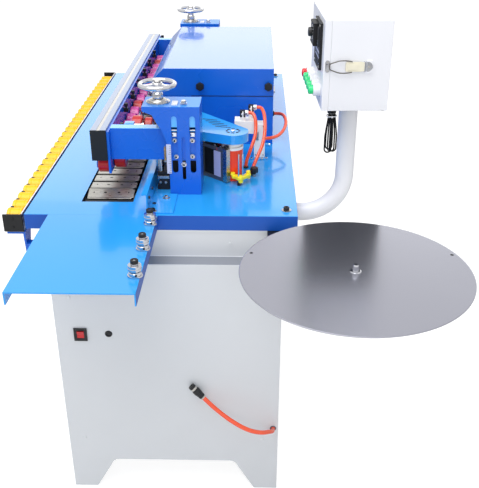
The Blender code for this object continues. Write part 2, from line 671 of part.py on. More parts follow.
def make_handwheel(name, shift):
    centre = (SPINDLE_X, SPINDLE_Y + shift, WHEEL_Z)
    base = COLUMN_TOP + 0.010 + GAP
    hub = turned([(0.013, base), (0.013, base + 0.012), (0.010, base + 0.016), (0.010, WHEEL_Z + 0.006)],
                 (centre[0], centre[1], 0))
    pieces = [torus(RIM_R, RIM_TUBE, centre), hub]
    for k in range(3):
        spoke = box(0.006, RIM_R, -0.0055, 0.0055, -0.004, 0.003)
        turn = Matrix.Rotation(math.radians(90 + 120 * k), 4, "Z")
        spoke.data.transform(Matrix.Translation(centre) @ turn)
        pieces.append(spoke)
    bore = rod(SPINDLE_R - 0.001 + 0.0003, base - 0.01, WHEEL_Z + 0.02, (centre[0], centre[1], 0))
    obj = combine(name, pieces, [bore], CHROME)
    return smooth(set_origin(obj, centre))


# ---------------------------------------------------------------- hood
def hood_section(inset, low, high):
    """Cross-section of the lid, with the chamfer over the feed line."""
    x0, x1, c = HOOD_X0 + inset, HOOD_X1 - inset, HOOD_CHAMFER
    return [(x0, low), (x1, low), (x1, high), (x0 + c, high), (x0, high - c)]


def make_hood_base():
    z0, z1 = ON_PLATE, HOOD_SEAM
    outer = box(HOOD_X0, HOOD_X1, HOOD_Y0, HOOD_Y1, z0, z1)
    flange = box(HOOD_X0 + 0.06, HOOD_X1, HOOD_Y0 - 0.012, HOOD_Y0 + 0.001, z0, z0 + HOOD_T)
    cuts = [
        box(HOOD_X0 + HOOD_T, HOOD_X1 - HOOD_T, HOOD_Y0 + HOOD_T, HOOD_Y1 - HOOD_T,
            z0 - 0.01, z1 + 0.01),
        box(HOOD_X0 - 0.01, HOOD_X0 + 0.055, HOOD_Y0 - 0.02, HOOD_Y1 + 0.01, z0 - 0.01, PASSAGE_Z),
        box(HOOD_X0 + 0.008, HOOD_X0 + 0.109, HOOD_Y0 - 0.02, HOOD_Y0 + 0.01, 0.900, z1 - 0.013),
    ]
    return combine("hood_base", [outer, flange], cuts, BLUE)


def make_hood_lid():
    low = HOOD_SEAM + GAP
    outer = prism(hood_section(0, low, HOOD_TOP), "Y", HOOD_Y0, HOOD_Y1)
    inner = prism(hood_section(HOOD_T, low - 0.01, HOOD_TOP - HOOD_T), "Y",
                  HOOD_Y0 + HOOD_T, HOOD_Y1 - HOOD_T)
    obj = combine("hood_lid", [outer], [inner], BLUE)
    return set_origin(obj, (HOOD_X1, (HOOD_Y0 + HOOD_Y1) / 2, low))


# ---------------------------------------------------------------- glue unit
def make_glue_motor():
    profile = [(MOTOR_R, 0), (MOTOR_R, 0.094), (MOTOR_R - 0.004, 0.0945), (MOTOR_R - 0.004, 0.103),
               (0.005, 0.1035), (0.005, 0.122)]
    obj = combine("glue_motor", [turned(profile, (MOTOR_X, MOTOR_Y, ON_PLATE), sides=24)], mat=ORANGE)
    return smooth(obj)


def make_glue_pot():
    along = Vector((math.cos(POT_ANGLE), math.sin(POT_ANGLE)))
    across = Vector((-along.y, along.x))
    corner = Vector((-0.069, -0.178))

    def at(u, v):
        return tuple(corner + u * along + v * across)

    outline = [at(0, 0), at(0.100, 0), at(0.100, 0.011), at(0.045, 0.011), at(0.045, 0.050),
               at(0, 0.050)]
    block = prism(outline, "Z", ON_PLATE, POT_Z1)
    slab = box(ROLL_X - 0.024, -0.050, ROLL_Y - 0.018, ROLL_Y + 0.030, ON_PLATE, ON_PLATE + 0.010)
    pocket = prism([at(0.008, -0.01), at(0.060, -0.01), at(0.060, 0.006), at(0.008, 0.006)], "Z",
                   ON_PLATE + 0.008, POT_Z1 - 0.010)
    journal = rod(0.0065, ON_PLATE + 0.002, ON_PLATE + 0.02, (ROLL_X, ROLL_Y, 0))
    return combine("glue_pot", [block, slab], [pocket, journal], DARK)


def make_glue_roller():
    base = ON_PLATE + 0.010 + GAP
    profile = [(0.006, base - 0.0075), (0.006, base), (ROLL_R, base + 0.0002), (ROLL_R, base + 0.070),
               (0.007, base + 0.0705), (0.007, base + 0.080)]
    obj = combine("glue_roller", [turned(profile, (ROLL_X, ROLL_Y, 0))], mat=STEEL)
    return smooth(set_origin(obj, (ROLL_X, ROLL_Y, base)))


def cover_outline(inset):
    """Round end over the motor, tapering out to the wide end behind the column."""
    cx, cy, r = MOTOR_X + 0.002, MOTOR_Y - 0.002, COVER_END_R - inset
    back = (COLUMN_X0 + 0.066 + inset, -0.035 - inset * 1.5)
    front = (COLUMN_X0 + 0.066 + inset, cy - 0.004 + inset)
    return [front] + arc(cx, cy, r, -95, 52, 10) + [back]


def make_drive_cover():
    tray = prism(cover_outline(0), "Z", COVER_Z0, COVER_Z1)
    hollow = prism(cover_outline(COVER_T), "Z", COVER_Z0 - 0.01, COVER_Z1 - COVER_T)
    post = rod(0.006, ON_PLATE, COVER_Z1 - COVER_T / 2, (-0.050, -0.075, 0), sides=12)
    slots = []
    for k in range(5):
        slot = box(-0.022, 0.022, -0.0022, 0.0022, COVER_Z1 - 0.01, COVER_Z1 + 0.01)
        turn = Matrix.Rotation(math.radians(-14), 4, "Z")
        slot.data.transform(Matrix.Translation((-0.048 + 0.010 * k, -0.105 - 0.0165 * k, 0)) @ turn)
        slots.append(slot)
    for k in range(8):
        vent = box(0.014, 0.020, -0.0045, 0.0045, COVER_Z1 - 0.01, COVER_Z1 + 0.01)
        turn = Matrix.Rotation(math.radians(45 * k), 4, "Z")
        vent.data.transform(Matrix.Translation((MOTOR_X + 0.002, MOTOR_Y - 0.002, 0)) @ turn)
        slots.append(vent)
    cover = combine("drive_cover", [tray], [hollow] + slots)
    return combine("drive_cover", [cover, post], mat=BLUE)


def make_tape_guide():
    x0, y0 = SPINDLE_X - 0.010, SPINDLE_Y - 0.015
    body = box(x0, x0 + 0.033, y0, y0 + 0.060, ON_PLATE, 0.889)
    groove = box(x0 - 0.01, x0 + 0.008, y0 - 0.01, y0 + 0.07, 0.862, 0.880)
    return combine("tape_guide", [body], [groove], BLACK)


# ---------------------------------------------------------------- pneumatics
ELBOW_A = (0.044, -0.043, 0.986)
ELBOW_B = (0.068, -0.022, 0.996)
HOSE_A = [(0.0595, -0.043, 0.986), (0.0655, -0.043, 0.986), (0.0715, -0.043, 0.986),
          (0.0790, -0.056, 0.975), (0.0815, -0.068, 0.955), (0.0793, -0.085, 0.930),
          (0.0680, -0.106, 0.900), (0.0570, -0.120, 0.872), (0.0540, -0.126, 0.8545)]
HOSE_B = [(0.0835, -0.022, 0.996), (0.0895, -0.022, 0.996), (0.0955, -0.022, 0.996),
          (0.1040, -0.046, 0.987), (0.1075, -0.072, 0.968), (0.1070, -0.095, 0.944),
          (0.1010, -0.118, 0.918), (0.0890, -0.146, 0.896), (0.0760, -0.172, 0.872),
          (0.0720, -0.180, 0.8545)]
HOSE_C = [(0.1340, 0.150, 0.925), (0.1400, 0.150, 0.925), (0.1460, 0.150, 0.925),
          (0.1620, 0.134, 0.928), (0.1710, 0.108, 0.926), (0.1730, 0.070, 0.918),
          (0.1630, 0.025, 0.910), (0.1450, -0.008, 0.905), (0.1215, -0.029, 0.905),
          (0.1150, -0.029, 0.905), (0.1085, -0.029, 0.905)]
HOSE_ROUTE = [(0.1375, -0.4960, 0.2222), (0.1375, -0.5040, 0.2224), (0.1372, -0.5120, 0.2240),
              (0.1352, -0.5250, 0.2292), (0.1244, -0.5410, 0.2410), (0.1062, -0.5560, 0.2507),
              (0.0804, -0.5645, 0.2624), (0.0548, -0.5645, 0.2744), (0.0286, -0.5570, 0.2867),
              (0.0087, -0.5480, 0.2959), (-0.0091, -0.5390, 0.3051), (-0.0256, -0.5310, 0.3155),
              (-0.0398, -0.5256, 0.3272), (-0.0532, -0.5226, 0.3405)]
UNION_L = 0.048


def make_valve_block():
    body = box(0.077, 0.108, -0.047, -0.007, ON_PLATE, 0.952)
    bank = box(0.020, 0.078, -0.052, -0.004, 0.926, 0.963)
    pieces = [body, bank]
    for x, y, z in (ELBOW_A, ELBOW_B):
        pieces.append(rod(0.008, 0.950, z + 0.006, (x, y, 0), sides=12))
        pieces.append(rod(0.0075, x, x + 0.0150, (0, y, z), "X", 12))
    return combine("valve_block", pieces, mat=CREAM)


def make_front_hose():
    tube("air_hose", curve_points(HOSE_ROUTE, 0.012), FRONT_HOSE_R, HOSE_ORANGE)
    a, b = Vector(HOSE_ROUTE[-2]), Vector(HOSE_ROUTE[-1])
    direction = (b - a).normalized()
    body = turned([(0.0085, 0), (0.0085, 0.016), (0.0105, 0.017), (0.0105, 0.032), (0.008, 0.033),
                   (0.008, UNION_L)], (0, 0, 0), "Z", 14)
    turn = direction.to_track_quat("Z", "Y").to_matrix().to_4x4()
    body.data.transform(Matrix.Translation(b + direction * GAP) @ turn)
    return smooth(combine("air_union", [body], mat=BLACK))


# ---------------------------------------------------------------- tape tray
def make_tray_arm():
    root = (RISER_X1 + GAP, -0.390)
    half = 0.020
    elbow = Vector((root[0] + half, PLATE_FRONT - 0.02))
    tip = Vector((TRAY_X, TRAY_Y))
    run = tip - elbow
    side = Vector((-run.y, run.x)).normalized() * half
    z_top = PLATE_TOP - APRON - 0.002
    corners = [tuple(point) for point in (elbow + side, elbow - side, tip - side, tip + side)]
    bar = prism(corners, "Z", z_top - 0.020, z_top)
    stub = box(root[0], root[0] + 2 * half, PLATE_FRONT - 0.035, root[1], z_top - 0.020, z_top)
    boss = rod(0.026, z_top - 0.020, TRAY_Z - TRAY_T - 0.008, (TRAY_X, TRAY_Y, 0))
    bore = rod(PIN_R + 0.0005, 0.7, 0.9, (TRAY_X, TRAY_Y, 0))
    return combine("tray_arm", [stub, bar, boss], [bore], BLACK)


def make_tray():
    """Disc with its centre pin, which turns in the arm's boss."""
    z0 = TRAY_Z - TRAY_T
    profile = [(PIN_R, -0.045), (PIN_R, -0.008 + GAP), (0.022, -0.0075 + GAP), (0.022, -0.0002),
               (TRAY_R, 0), (TRAY_R, TRAY_T), (PIN_R, TRAY_T + 0.0001), (PIN_R, TRAY_T + PIN_UP)]
    disc = turned(profile, (TRAY_X, TRAY_Y, z0), sides=48)
    holes = []
    for turn in (math.radians(20), math.radians(160)):
        x, y = TRAY_X + (TRAY_R - 0.012) * math.cos(turn), TRAY_Y + (TRAY_R - 0.012) * math.sin(turn)
        holes.append(rod(0.004, -0.1, 0.1, (x, y, TRAY_Z), sides=8))
    obj = combine("tray_disc", [disc], holes, SATIN)
    return smooth(set_origin(obj, (TRAY_X, TRAY_Y, TRAY_Z)))


# ---------------------------------------------------------------- control box
def make_pipe():
    start = RISER_X1 + GAP
    points = [(start, PIPE_Y, PIPE_Z), (PIPE_X - PIPE_BEND, PIPE_Y, PIPE_Z)]
    for k in range(1, 9):
        turn = math.radians(-90 + 90 * k / 8)
        points.append((PIPE_X - PIPE_BEND + PIPE_BEND * math.cos(turn), PIPE_Y,
                       PIPE_Z + PIPE_BEND + PIPE_BEND * math.sin(turn)))
    points.append((PIPE_X, PIPE_Y, BOX_Z0 - GAP))
    return tube("control_pipe", points, PIPE_R, WHITE, 3)


def button_y(index):
    return BUTTON_Y0 + index * BUTTON_PITCH


SHELL_X0 = BOX_X0 + DOOR_D + GAP


def make_control_box():
    t = BOX_T
    shell = box(SHELL_X0, BOX_X1, BOX_Y0, BOX_Y1, BOX_Z0, BOX_Z1)
    hollow = box(SHELL_X0 - 0.01, BOX_X1 - t, BOX_Y0 + t, BOX_Y1 - t, BOX_Z0 + t, BOX_Z1 - t)
    base = box(LATCH_X + 0.0045, LATCH_X + 0.018, BOX_Y0 - 0.0055, BOX_Y0 + 0.001,
               LATCH_Z - 0.014, LATCH_Z + 0.014)
    gland = turned([(0.009, BOX_Z0 - GLAND_L), (0.009, BOX_Z0 - 0.006), (0.012, BOX_Z0 - 0.0055),
                    (0.012, BOX_Z0 + 0.001)], (HANK_X, HANK_Y, 0), sides=12)
    return turn_with_box(combine("control_box", [shell, base, gland], [hollow], WHITE))


def make_box_door():
    x0, x1, t = BOX_X0, BOX_X0 + DOOR_D, BOX_T
    door = box(x0, x1, BOX_Y0, BOX_Y1, BOX_Z0, BOX_Z1)
    hollow = box(x0 + t, x1 + 0.01, BOX_Y0 + t, BOX_Y1 - t, BOX_Z0 + t, BOX_Z1 - t)
    pieces, cuts = [door], [hollow]
    for k in range(5):
        centre = (0, button_y(k), BUTTON_Z)
        pieces.append(rod(BUTTON_R + 0.004, x0 - COLLAR_L, x0 + 0.001, centre, "X", 16))
        cuts.append(rod(BUTTON_R + 0.0005, x0 - COLLAR_L - 0.01, x0 - 0.002, centre, "X", 16))
    obj = combine("box_door", pieces, cuts, WHITE)
    return turn_with_box(set_origin(obj, (x1, BOX_Y1, (BOX_Z0 + BOX_Z1) / 2)))


def make_button(name, index, mat):
    low, high = BOX_X0 - COLLAR_L - CAP_L, BOX_X0 - 0.002 - GAP - BUTTON_TRAVEL
    centre = (0, button_y(index), BUTTON_Z)
    cap = turned([(BUTTON_R - 0.0015, low), (BUTTON_R, low + 0.0015), (BUTTON_R, high)], centre, "X", 16)
    obj = combine(name, [cap], mat=mat)
    return smooth(turn_with_box(set_origin(obj, (high, *centre[1:]))))


PANEL_Y = (BOX_Y0 + 0.037, BOX_Y0 + 0.142)
PANEL_Z = (1.180, 1.290)
KNOB = (BOX_Y0 + 0.108, 1.258)


def make_controller():
    x1 = BOX_X0 - GAP
    face = x1 - DISPLAY_T
    plate = box(x1 - PANEL_T, x1, *PANEL_Y, *PANEL_Z)
    housing = box(face, x1 - 0.001, BOX_Y0 + 0.078, PANEL_Y[1], 1.229, 1.283)
    hole = rod(0.0046, face - 0.01, face + 0.010, (0, *KNOB), "X", 12)
    slot = box(x1 - PANEL_T - 0.01, x1 - PANEL_T + 0.002, PANEL_Y[0] + 0.010, PANEL_Y[1] - 0.010,
               PANEL_Z[0] + 0.010, 1.222)
    return turn_with_box(combine("controller", [plate, housing], [hole, slot], BLACK))


def make_controller_knob():
    face = BOX_X0 - GAP - DISPLAY_T
    profile = [(0.0100, face - 0.010), (0.0112, face - GAP - 0.0002), (0.0042, face - GAP),
               (0.0042, face + 0.009)]
    obj = combine("controller_knob", [turned(profile, (0, *KNOB), "X", 16)], mat=BLACK)
    return smooth(turn_with_box(set_origin(obj, (face, *KNOB))))


def make_latch():
    y0 = BOX_Y0 - 0.0060
    lever = box(LATCH_X - 0.048, LATCH_X + 0.0020, y0, y0 + 0.0025, LATCH_Z - 0.012, LATCH_Z + 0.012)
    pivot = (LATCH_X, BOX_Y0 - 0.0035, 0)
    eye = rod(0.0030, LATCH_Z - 0.012, LATCH_Z + 0.012, pivot, sides=12)
    obj = combine("latch_lever", [lever, eye], mat=STEEL)
    return turn_with_box(set_origin(obj, (pivot[0], pivot[1], LATCH_Z)))


def make_hank():
    w, d, length = HANK_SIZE
    top = BOX_Z0 - GLAND_L - GAP
    half = w / 2
    outline = arc(HANK_X, top - half, half, 0, 180) + arc(HANK_X, top - length + half, half, 180, 360)
    hank = combine("cable_hank", [prism(outline, "Y", HANK_Y - d / 2, HANK_Y + d / 2)], mat=BLACK)
    return turn_with_box(hank)


# ---------------------------------------------------------------- front face
SWITCH_X, SWITCH_Z = -0.3715, 0.5281
BEZEL = (0.033, 0.037)


def make_switch_bezel():
    w, h = BEZEL
    y = CAB_FRONT - GAP

    def block(half_x, half_z, y0, y1):
        return box(SWITCH_X - half_x, SWITCH_X + half_x, y0, y1, SWITCH_Z - half_z, SWITCH_Z + half_z)

    pieces = [block(w / 2, h / 2, y - 0.003, y), block(0.0120, 0.0135, y - 0.001, y + 0.022)]
    pocket = block(0.0095, 0.0115, y - 0.01, y + 0.014)
    return combine("switch_bezel", pieces, [pocket], BLACK)


def make_rocker():
    y = CAB_FRONT - GAP - 0.003
    outline = [(y - 0.0030, 0.0105), (y + 0.0005, 0.0), (y + 0.0005, -0.0105), (y + 0.0080, -0.0090),
               (y + 0.0115, 0.0), (y + 0.0080, 0.0090)]
    rocker = prism([(a, SWITCH_Z + b) for a, b in outline], "X", SWITCH_X - 0.0091, SWITCH_X + 0.0091)
    obj = combine("rocker_switch", [rocker], mat=RED)
    return set_origin(obj, (SWITCH_X, y + 0.006, SWITCH_Z))


# ---------------------------------------------------------------- build
def build():
    make_cabinet()
    make_riser()
    make_plate()
    make_chain()
    make_chain_bed()
    make_drum("idler_drum", DRUM_FRONT, SIDE_X)
    make_drum("drive_drum", DRUM_REAR, SIDE_X + 0.05)
    make_gear_motor()
    make_infeed()
    for index, y in enumerate(POST_YS, 1):
        make_post(index, y)
        make_guide_roller(index, y)
    make_fence()
    make_rail()
    make_rail_rollers()
    make_rail_bracket()
    make_beam()
    make_carrier()
    make_press_wheel(1, WHEEL_A_X1 - WHEEL_W, WHEEL_A_Y, WHEEL_A_Z, WHEEL_A_R)
    make_press_wheel(2, WHEEL_B_X0, WHEEL_B_Y, WHEEL_B_Z, WHEEL_B_R)
    for place, shift in (("front", 0.0), ("rear", COLUMN_SPACING)):
        make_arm(f"beam_arm_{place}", shift)
        make_column(f"column_{place}", shift)
        make_spindle(f"spindle_{place}", shift)
        make_handwheel(f"handwheel_{place}", shift)
    make_hood_base()
    make_hood_lid()
    make_glue_motor()
    make_glue_pot()
    make_glue_roller()
    make_drive_cover()
    make_tape_guide()
    make_valve_block()
    for name, route in (("hose_left", HOSE_A), ("hose_right", HOSE_B), ("hose_loop", HOSE_C)):
        tube(name, curve_points(route, 0.012), HOSE_R, HOSE_ORANGE)
    make_front_hose()
    make_tray_arm()
    make_tray()
    make_pipe()
    make_control_box()
    make_box_door()
    make_button("button_red", 4, RED)
    for index in range(4):
        make_button(f"button_green_{index + 1}", index, GREEN)
    make_controller()
    make_controller_knob()
    make_latch()
    make_hank()
    make_switch_bezel()
    make_rocker()


build()
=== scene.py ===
"""Looks of the edge banding machine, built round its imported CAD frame."""
import math

import bmesh
import bpy
from mathutils import Matrix, Vector


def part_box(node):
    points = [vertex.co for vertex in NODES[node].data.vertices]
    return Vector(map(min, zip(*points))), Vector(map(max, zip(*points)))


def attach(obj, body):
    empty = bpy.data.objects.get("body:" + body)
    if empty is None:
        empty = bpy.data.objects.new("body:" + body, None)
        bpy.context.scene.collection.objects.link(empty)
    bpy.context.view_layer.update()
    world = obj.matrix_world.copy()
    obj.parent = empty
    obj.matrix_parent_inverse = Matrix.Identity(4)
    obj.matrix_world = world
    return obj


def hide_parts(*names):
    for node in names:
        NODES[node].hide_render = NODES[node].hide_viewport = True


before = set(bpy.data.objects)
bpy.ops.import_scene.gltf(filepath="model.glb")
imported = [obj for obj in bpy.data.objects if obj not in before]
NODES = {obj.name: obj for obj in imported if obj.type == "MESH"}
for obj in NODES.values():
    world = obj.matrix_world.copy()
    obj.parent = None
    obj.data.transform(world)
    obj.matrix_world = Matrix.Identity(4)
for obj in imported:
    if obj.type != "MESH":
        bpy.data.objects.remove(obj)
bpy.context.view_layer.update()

PIPE_X, PIPE_Y = 0.317, -0.272
PIVOT = Matrix.Translation((PIPE_X, PIPE_Y, 0))
BOX_TURN = PIVOT @ Matrix.Rotation(math.radians(2.1), 4, "Z") @ PIVOT.inverted()

# The control box and its door, before they are turned round the pipe.
SHELL_X0, DOOR_X = 0.253, 0.2367
BOX_Y0, BOX_Y1, BOX_Z0, BOX_Z1 = -0.359, -0.099, 1.09, 1.305
BUTTON_Z, COLLAR_HEIGHT = 1.13, 0.016
KNOB_Y, KNOB_Z = -0.251, 1.258

PLATE_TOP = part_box("base_plate")[1].z
PAD_PITCH = 0.0508
WHEEL_PITCH, FIRST_WHEEL_Y = 0.066, -0.172
COLUMN_SLOTS = (-0.125, -0.0787)
RAIL_PITCH, RAIL_ROLLERS, FIRST_ROLLER_Y = 0.05, 27, -0.422


def middle(node):
    """Centre of a CAD node's box."""
    lo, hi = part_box(node)
    return (lo + hi) / 2


def circle(sides):
    """Evenly spaced angles round one turn."""
    return [2 * math.pi * i / sides for i in range(sides)]


def arc(first, last, step):
    """Angles in radians from first up to last, all given in degrees."""
    return [math.radians(degrees) for degrees in range(first, last, step)]


def downward(profile):
    """The profile with its heights the other way."""
    return [(radius, -height) for radius, height in profile]


# ---------------------------------------------------------------- camera
def make_camera():
    data = bpy.data.cameras.new("camera")
    data.lens = 56.07
    data.sensor_width = 36.0
    data.clip_end = 100
    cam = bpy.data.objects.new("camera", data)
    cam.location = (0.08, -2.162, 1.638)
    cam.rotation_euler = (math.radians(63.1), 0, math.radians(1.24))
    bpy.context.collection.objects.link(cam)
    bpy.context.scene.camera = cam


make_camera()


# ---------------------------------------------------------------- materials
def lin(r, g, b):
    """Colour written as it looks on a screen, 0 to 255, as a linear colour."""
    def one(value):
        c = value / 255
        return c / 12.92 if c <= 0.04045 else ((c + 0.055) / 1.055) ** 2.4
    return one(r), one(g), one(b)


def surface(name, colour, rough=0.4, metal=0.0, coat=0.0, coat_rough=0.04, vary=0.05, scale=14.0,
            rough_vary=0.05, bump=0.03, bump_scale=500.0, stretch=(1, 1, 1)):
    """Principled finish with procedural colour drift, uneven gloss and a fine relief."""
    mat = bpy.data.materials.new(name)
    mat.use_nodes = True
    nodes, links = mat.node_tree.nodes, mat.node_tree.links
    shader = nodes["Principled BSDF"]
    shader.inputs["Metallic"].default_value = metal
    shader.inputs["IOR"].default_value = 1.5
    shader.inputs["Coat Weight"].default_value = coat
    shader.inputs["Coat Roughness"].default_value = coat_rough
    coords = nodes.new("ShaderNodeTexCoord")
    mapping = nodes.new("ShaderNodeMapping")
    mapping.inputs["Scale"].default_value = stretch
    links.new(coords.outputs["Object"], mapping.inputs["Vector"])

    def noise(size, detail):
        node = nodes.new("ShaderNodeTexNoise")
        node.inputs["Scale"].default_value = size
        node.inputs["Detail"].default_value = detail
        links.new(mapping.outputs["Vector"], node.inputs["Vector"])
        return node

    broad = noise(scale, 3.0)
    mix = nodes.new("ShaderNodeMix")
    mix.data_type = "RGBA"
    mix.inputs["A"].default_value = (*[c * (1 - vary) for c in colour], 1)
    mix.inputs["B"].default_value = (*[min(1.0, c * (1 + vary)) for c in colour], 1)
    links.new(broad.outputs["Fac"], mix.inputs["Factor"])
    links.new(mix.outputs["Result"], shader.inputs["Base Color"])
    gloss = nodes.new("ShaderNodeMapRange")
    gloss.inputs["To Min"].default_value = max(0.02, rough - rough_vary)
    gloss.inputs["To Max"].default_value = rough + rough_vary
    links.new(broad.outputs["Fac"], gloss.inputs["Value"])
    links.new(gloss.outputs["Result"], shader.inputs["Roughness"])
    relief = nodes.new("ShaderNodeBump")
    relief.inputs["Strength"].default_value = bump
    relief.inputs["Distance"].default_value = 0.0005
    links.new(noise(bump_scale, 2.0).outputs["Fac"], relief.inputs["Height"])
    links.new(relief.outputs["Normal"], shader.inputs["Normal"])
    return mat


GREY = surface("grey_powder_coat", lin(208, 211, 215), 0.42, vary=0.015, bump=0.1, bump_scale=900)
BLUE = surface("blue_enamel", lin(40, 156, 234), 0.17, coat=0.32, coat_rough=0.03, vary=0.03,
               scale=5, rough_vary=0.03, bump=0.012, bump_scale=160)
# Darker copy of the blue enamel for the upright blue parts: painted shade.
BLUE_SHADED = surface("blue_enamel_painted_shade", lin(14, 98, 208), 0.28, coat=0.1, coat_rough=0.05,
                    vary=0.03, scale=5, bump=0.012, bump_scale=160)
BLUE_LID = surface("blue_enamel_lid", lin(40, 122, 232), 0.18, coat=0.55, coat_rough=0.03,
                   vary=0.03, scale=5, rough_vary=0.03, bump=0.012, bump_scale=160)
# Darker still, for the plate's aprons: painted shade.
APRON_SHADE = surface("blue_enamel_apron_painted_shade", lin(0, 80, 178), 0.46, vary=0.03, scale=5, bump=0.012,
                bump_scale=160)
ROCKER = surface("red_rocker", lin(196, 18, 26), 0.3, coat=0.2, vary=0.06, scale=80, bump=0.02)
# Darker grey for the cabinet's top ledge: painted shadow of the plate over it.
LEDGE_SHADE = surface("grey_ledge_painted_shade", lin(136, 140, 148), 0.6, vary=0.02, bump=0.08, bump_scale=900)
BLUE_TOP = surface("blue_enamel_tops", lin(36, 136, 228), 0.3, vary=0.03, scale=5, bump=0.012)
WIRE = surface("bail_wire", lin(112, 110, 106), 0.35, metal=0.9, vary=0.05)
YELLOW = surface("yellow_moulding", lin(255, 196, 4), 0.38, vary=0.06, scale=60, bump=0.05)
YELLOW_CLAMP = surface("yellow_clamp", lin(255, 232, 40), 0.35, vary=0.05, scale=60, bump=0.05)
BLACK = surface("black_moulding", lin(20, 21, 25), 0.42, vary=0.15, scale=60, bump=0.1,
                bump_scale=1200)
DEEP_BLACK = surface("black_shadowed_steel", lin(8, 9, 13), 0.55, vary=0.2, scale=40, bump=0.1)
ALU = surface("anodised_aluminium", lin(172, 182, 202), 0.36, metal=0.75, vary=0.03, scale=60,
              stretch=(30, 1, 30), bump=0.05, bump_scale=60)
STEEL = surface("machined_steel", lin(196, 193, 188), 0.28, metal=1.0, vary=0.12, scale=120,
                rough_vary=0.1, bump=0.06, bump_scale=700)
PAD = surface("nickelled_pad", lin(178, 176, 170), 0.3, metal=0.85, vary=0.22, scale=60,
              rough_vary=0.1, stretch=(1, 8, 1), bump=0.05)
CHROME = surface("chrome", lin(206, 207, 212), 0.09, metal=1.0, vary=0.02, scale=40,
                 rough_vary=0.04, bump=0.01)
RED_TYRE = surface("red_polyurethane", lin(190, 14, 22), 0.32, coat=0.2, vary=0.1, scale=50,
                   bump=0.04)
PINK_TYRE = surface("magenta_polyurethane", lin(204, 62, 150), 0.3, coat=0.3, vary=0.12, scale=50,
                    bump=0.04)
ORANGE = surface("orange_enamel", lin(255, 66, 6), 0.3, coat=0.15, vary=0.04, scale=30, bump=0.02)
HOSE = surface("orange_polyurethane", lin(240, 84, 46), 0.22, coat=0.5, vary=0.05, scale=60,
               bump=0.015)
CREAM = surface("cream_enamel", lin(255, 251, 246), 0.34, vary=0.04, scale=40, bump=0.05)
WHITE = surface("white_powder_coat", lin(233, 234, 239), 0.34, vary=0.012, scale=12, bump=0.06,
                bump_scale=900)
IVORY = surface("ivory_plastic", lin(232, 226, 204), 0.36, vary=0.05, scale=60, bump=0.04)
SATIN = surface("satin_steel_disc", lin(170, 171, 181), 0.25, metal=0.95, vary=0.04, scale=3,
                rough_vary=0.02, bump=0.03, bump_scale=260)
RED = surface("red_cap", lin(226, 30, 40), 0.25, coat=0.4, vary=0.06, scale=80, bump=0.02)
GREEN = surface("green_cap", lin(44, 214, 130), 0.25, coat=0.4, vary=0.06, scale=80, bump=0.02)
CASTING = surface("dark_grey_casting", lin(84, 92, 106), 0.38, metal=0.3, vary=0.12, scale=50,
                  bump=0.12, bump_scale=500)
LABEL = surface("bare_label", lin(188, 190, 222), 0.4, vary=0.03, scale=40, bump=0.02)
BRASS = surface("brass_fitting", lin(200, 168, 96), 0.3, metal=1.0, vary=0.1, scale=100, bump=0.05)
# Paler copy of the blue for small blue parts: painted light.
BLUE_LIT = surface("blue_enamel_painted_light", lin(96, 186, 255), 0.25, coat=0.4, vary=0.03, scale=20,
              bump=0.02)
RULE = surface("rule_face", lin(196, 200, 222), 0.35, vary=0.04, scale=80, bump=0.02)

DRESS = {
    "cabinet": GREY, "riser_frame": GREY, "base_plate": BLUE, "infeed_table": BLUE,
    # The bracket, columns, arms, wheel carrier and hood base take the darker painted-shade blue.
    "guide_fence": BLUE, "rail_bracket_front": BLUE_SHADED, "column_front": BLUE_SHADED,
    "column_rear": BLUE_SHADED, "beam_arm_front": BLUE_SHADED, "beam_arm_rear": BLUE_SHADED,
    "wheel_carrier": BLUE_SHADED, "hood_base": BLUE_SHADED, "hood_lid": BLUE_LID, "drive_cover": BLUE,
    "roller_rail": ALU, "press_beam": ALU, "chain_bed": DEEP_BLACK, "gear_motor": CASTING,
    "glue_pot": CASTING, "drive_drum": STEEL, "idler_drum": STEEL, "guide_post_1": CHROME,
    "guide_post_2": CHROME, "guide_post_3": CHROME, "spindle_front": STEEL, "spindle_rear": STEEL,
    "glue_roller": STEEL, "guide_roller_1": CHROME, "guide_roller_2": CHROME,
    "guide_roller_3": CHROME, "glue_motor": ORANGE, "tape_guide": BLACK, "tray_arm": BLACK,
    "controller": DEEP_BLACK, "controller_knob": BLACK, "switch_bezel": BLACK, "valve_block": CREAM,
    "tray_disc": SATIN, "control_pipe": WHITE, "control_box": WHITE, "box_door": WHITE,
    "button_red": RED, "rocker_switch": ROCKER, "button_green_1": GREEN, "button_green_2": GREEN,
    "button_green_3": GREEN, "button_green_4": GREEN, "press_wheel_1": RED_TYRE,
    "press_wheel_2": RED_TYRE,
}


def dress(obj, mat):
    obj.data.materials.clear()
    obj.data.materials.append(mat)


for node_name, node_mat in DRESS.items():
    dress(NODES[node_name], node_mat)


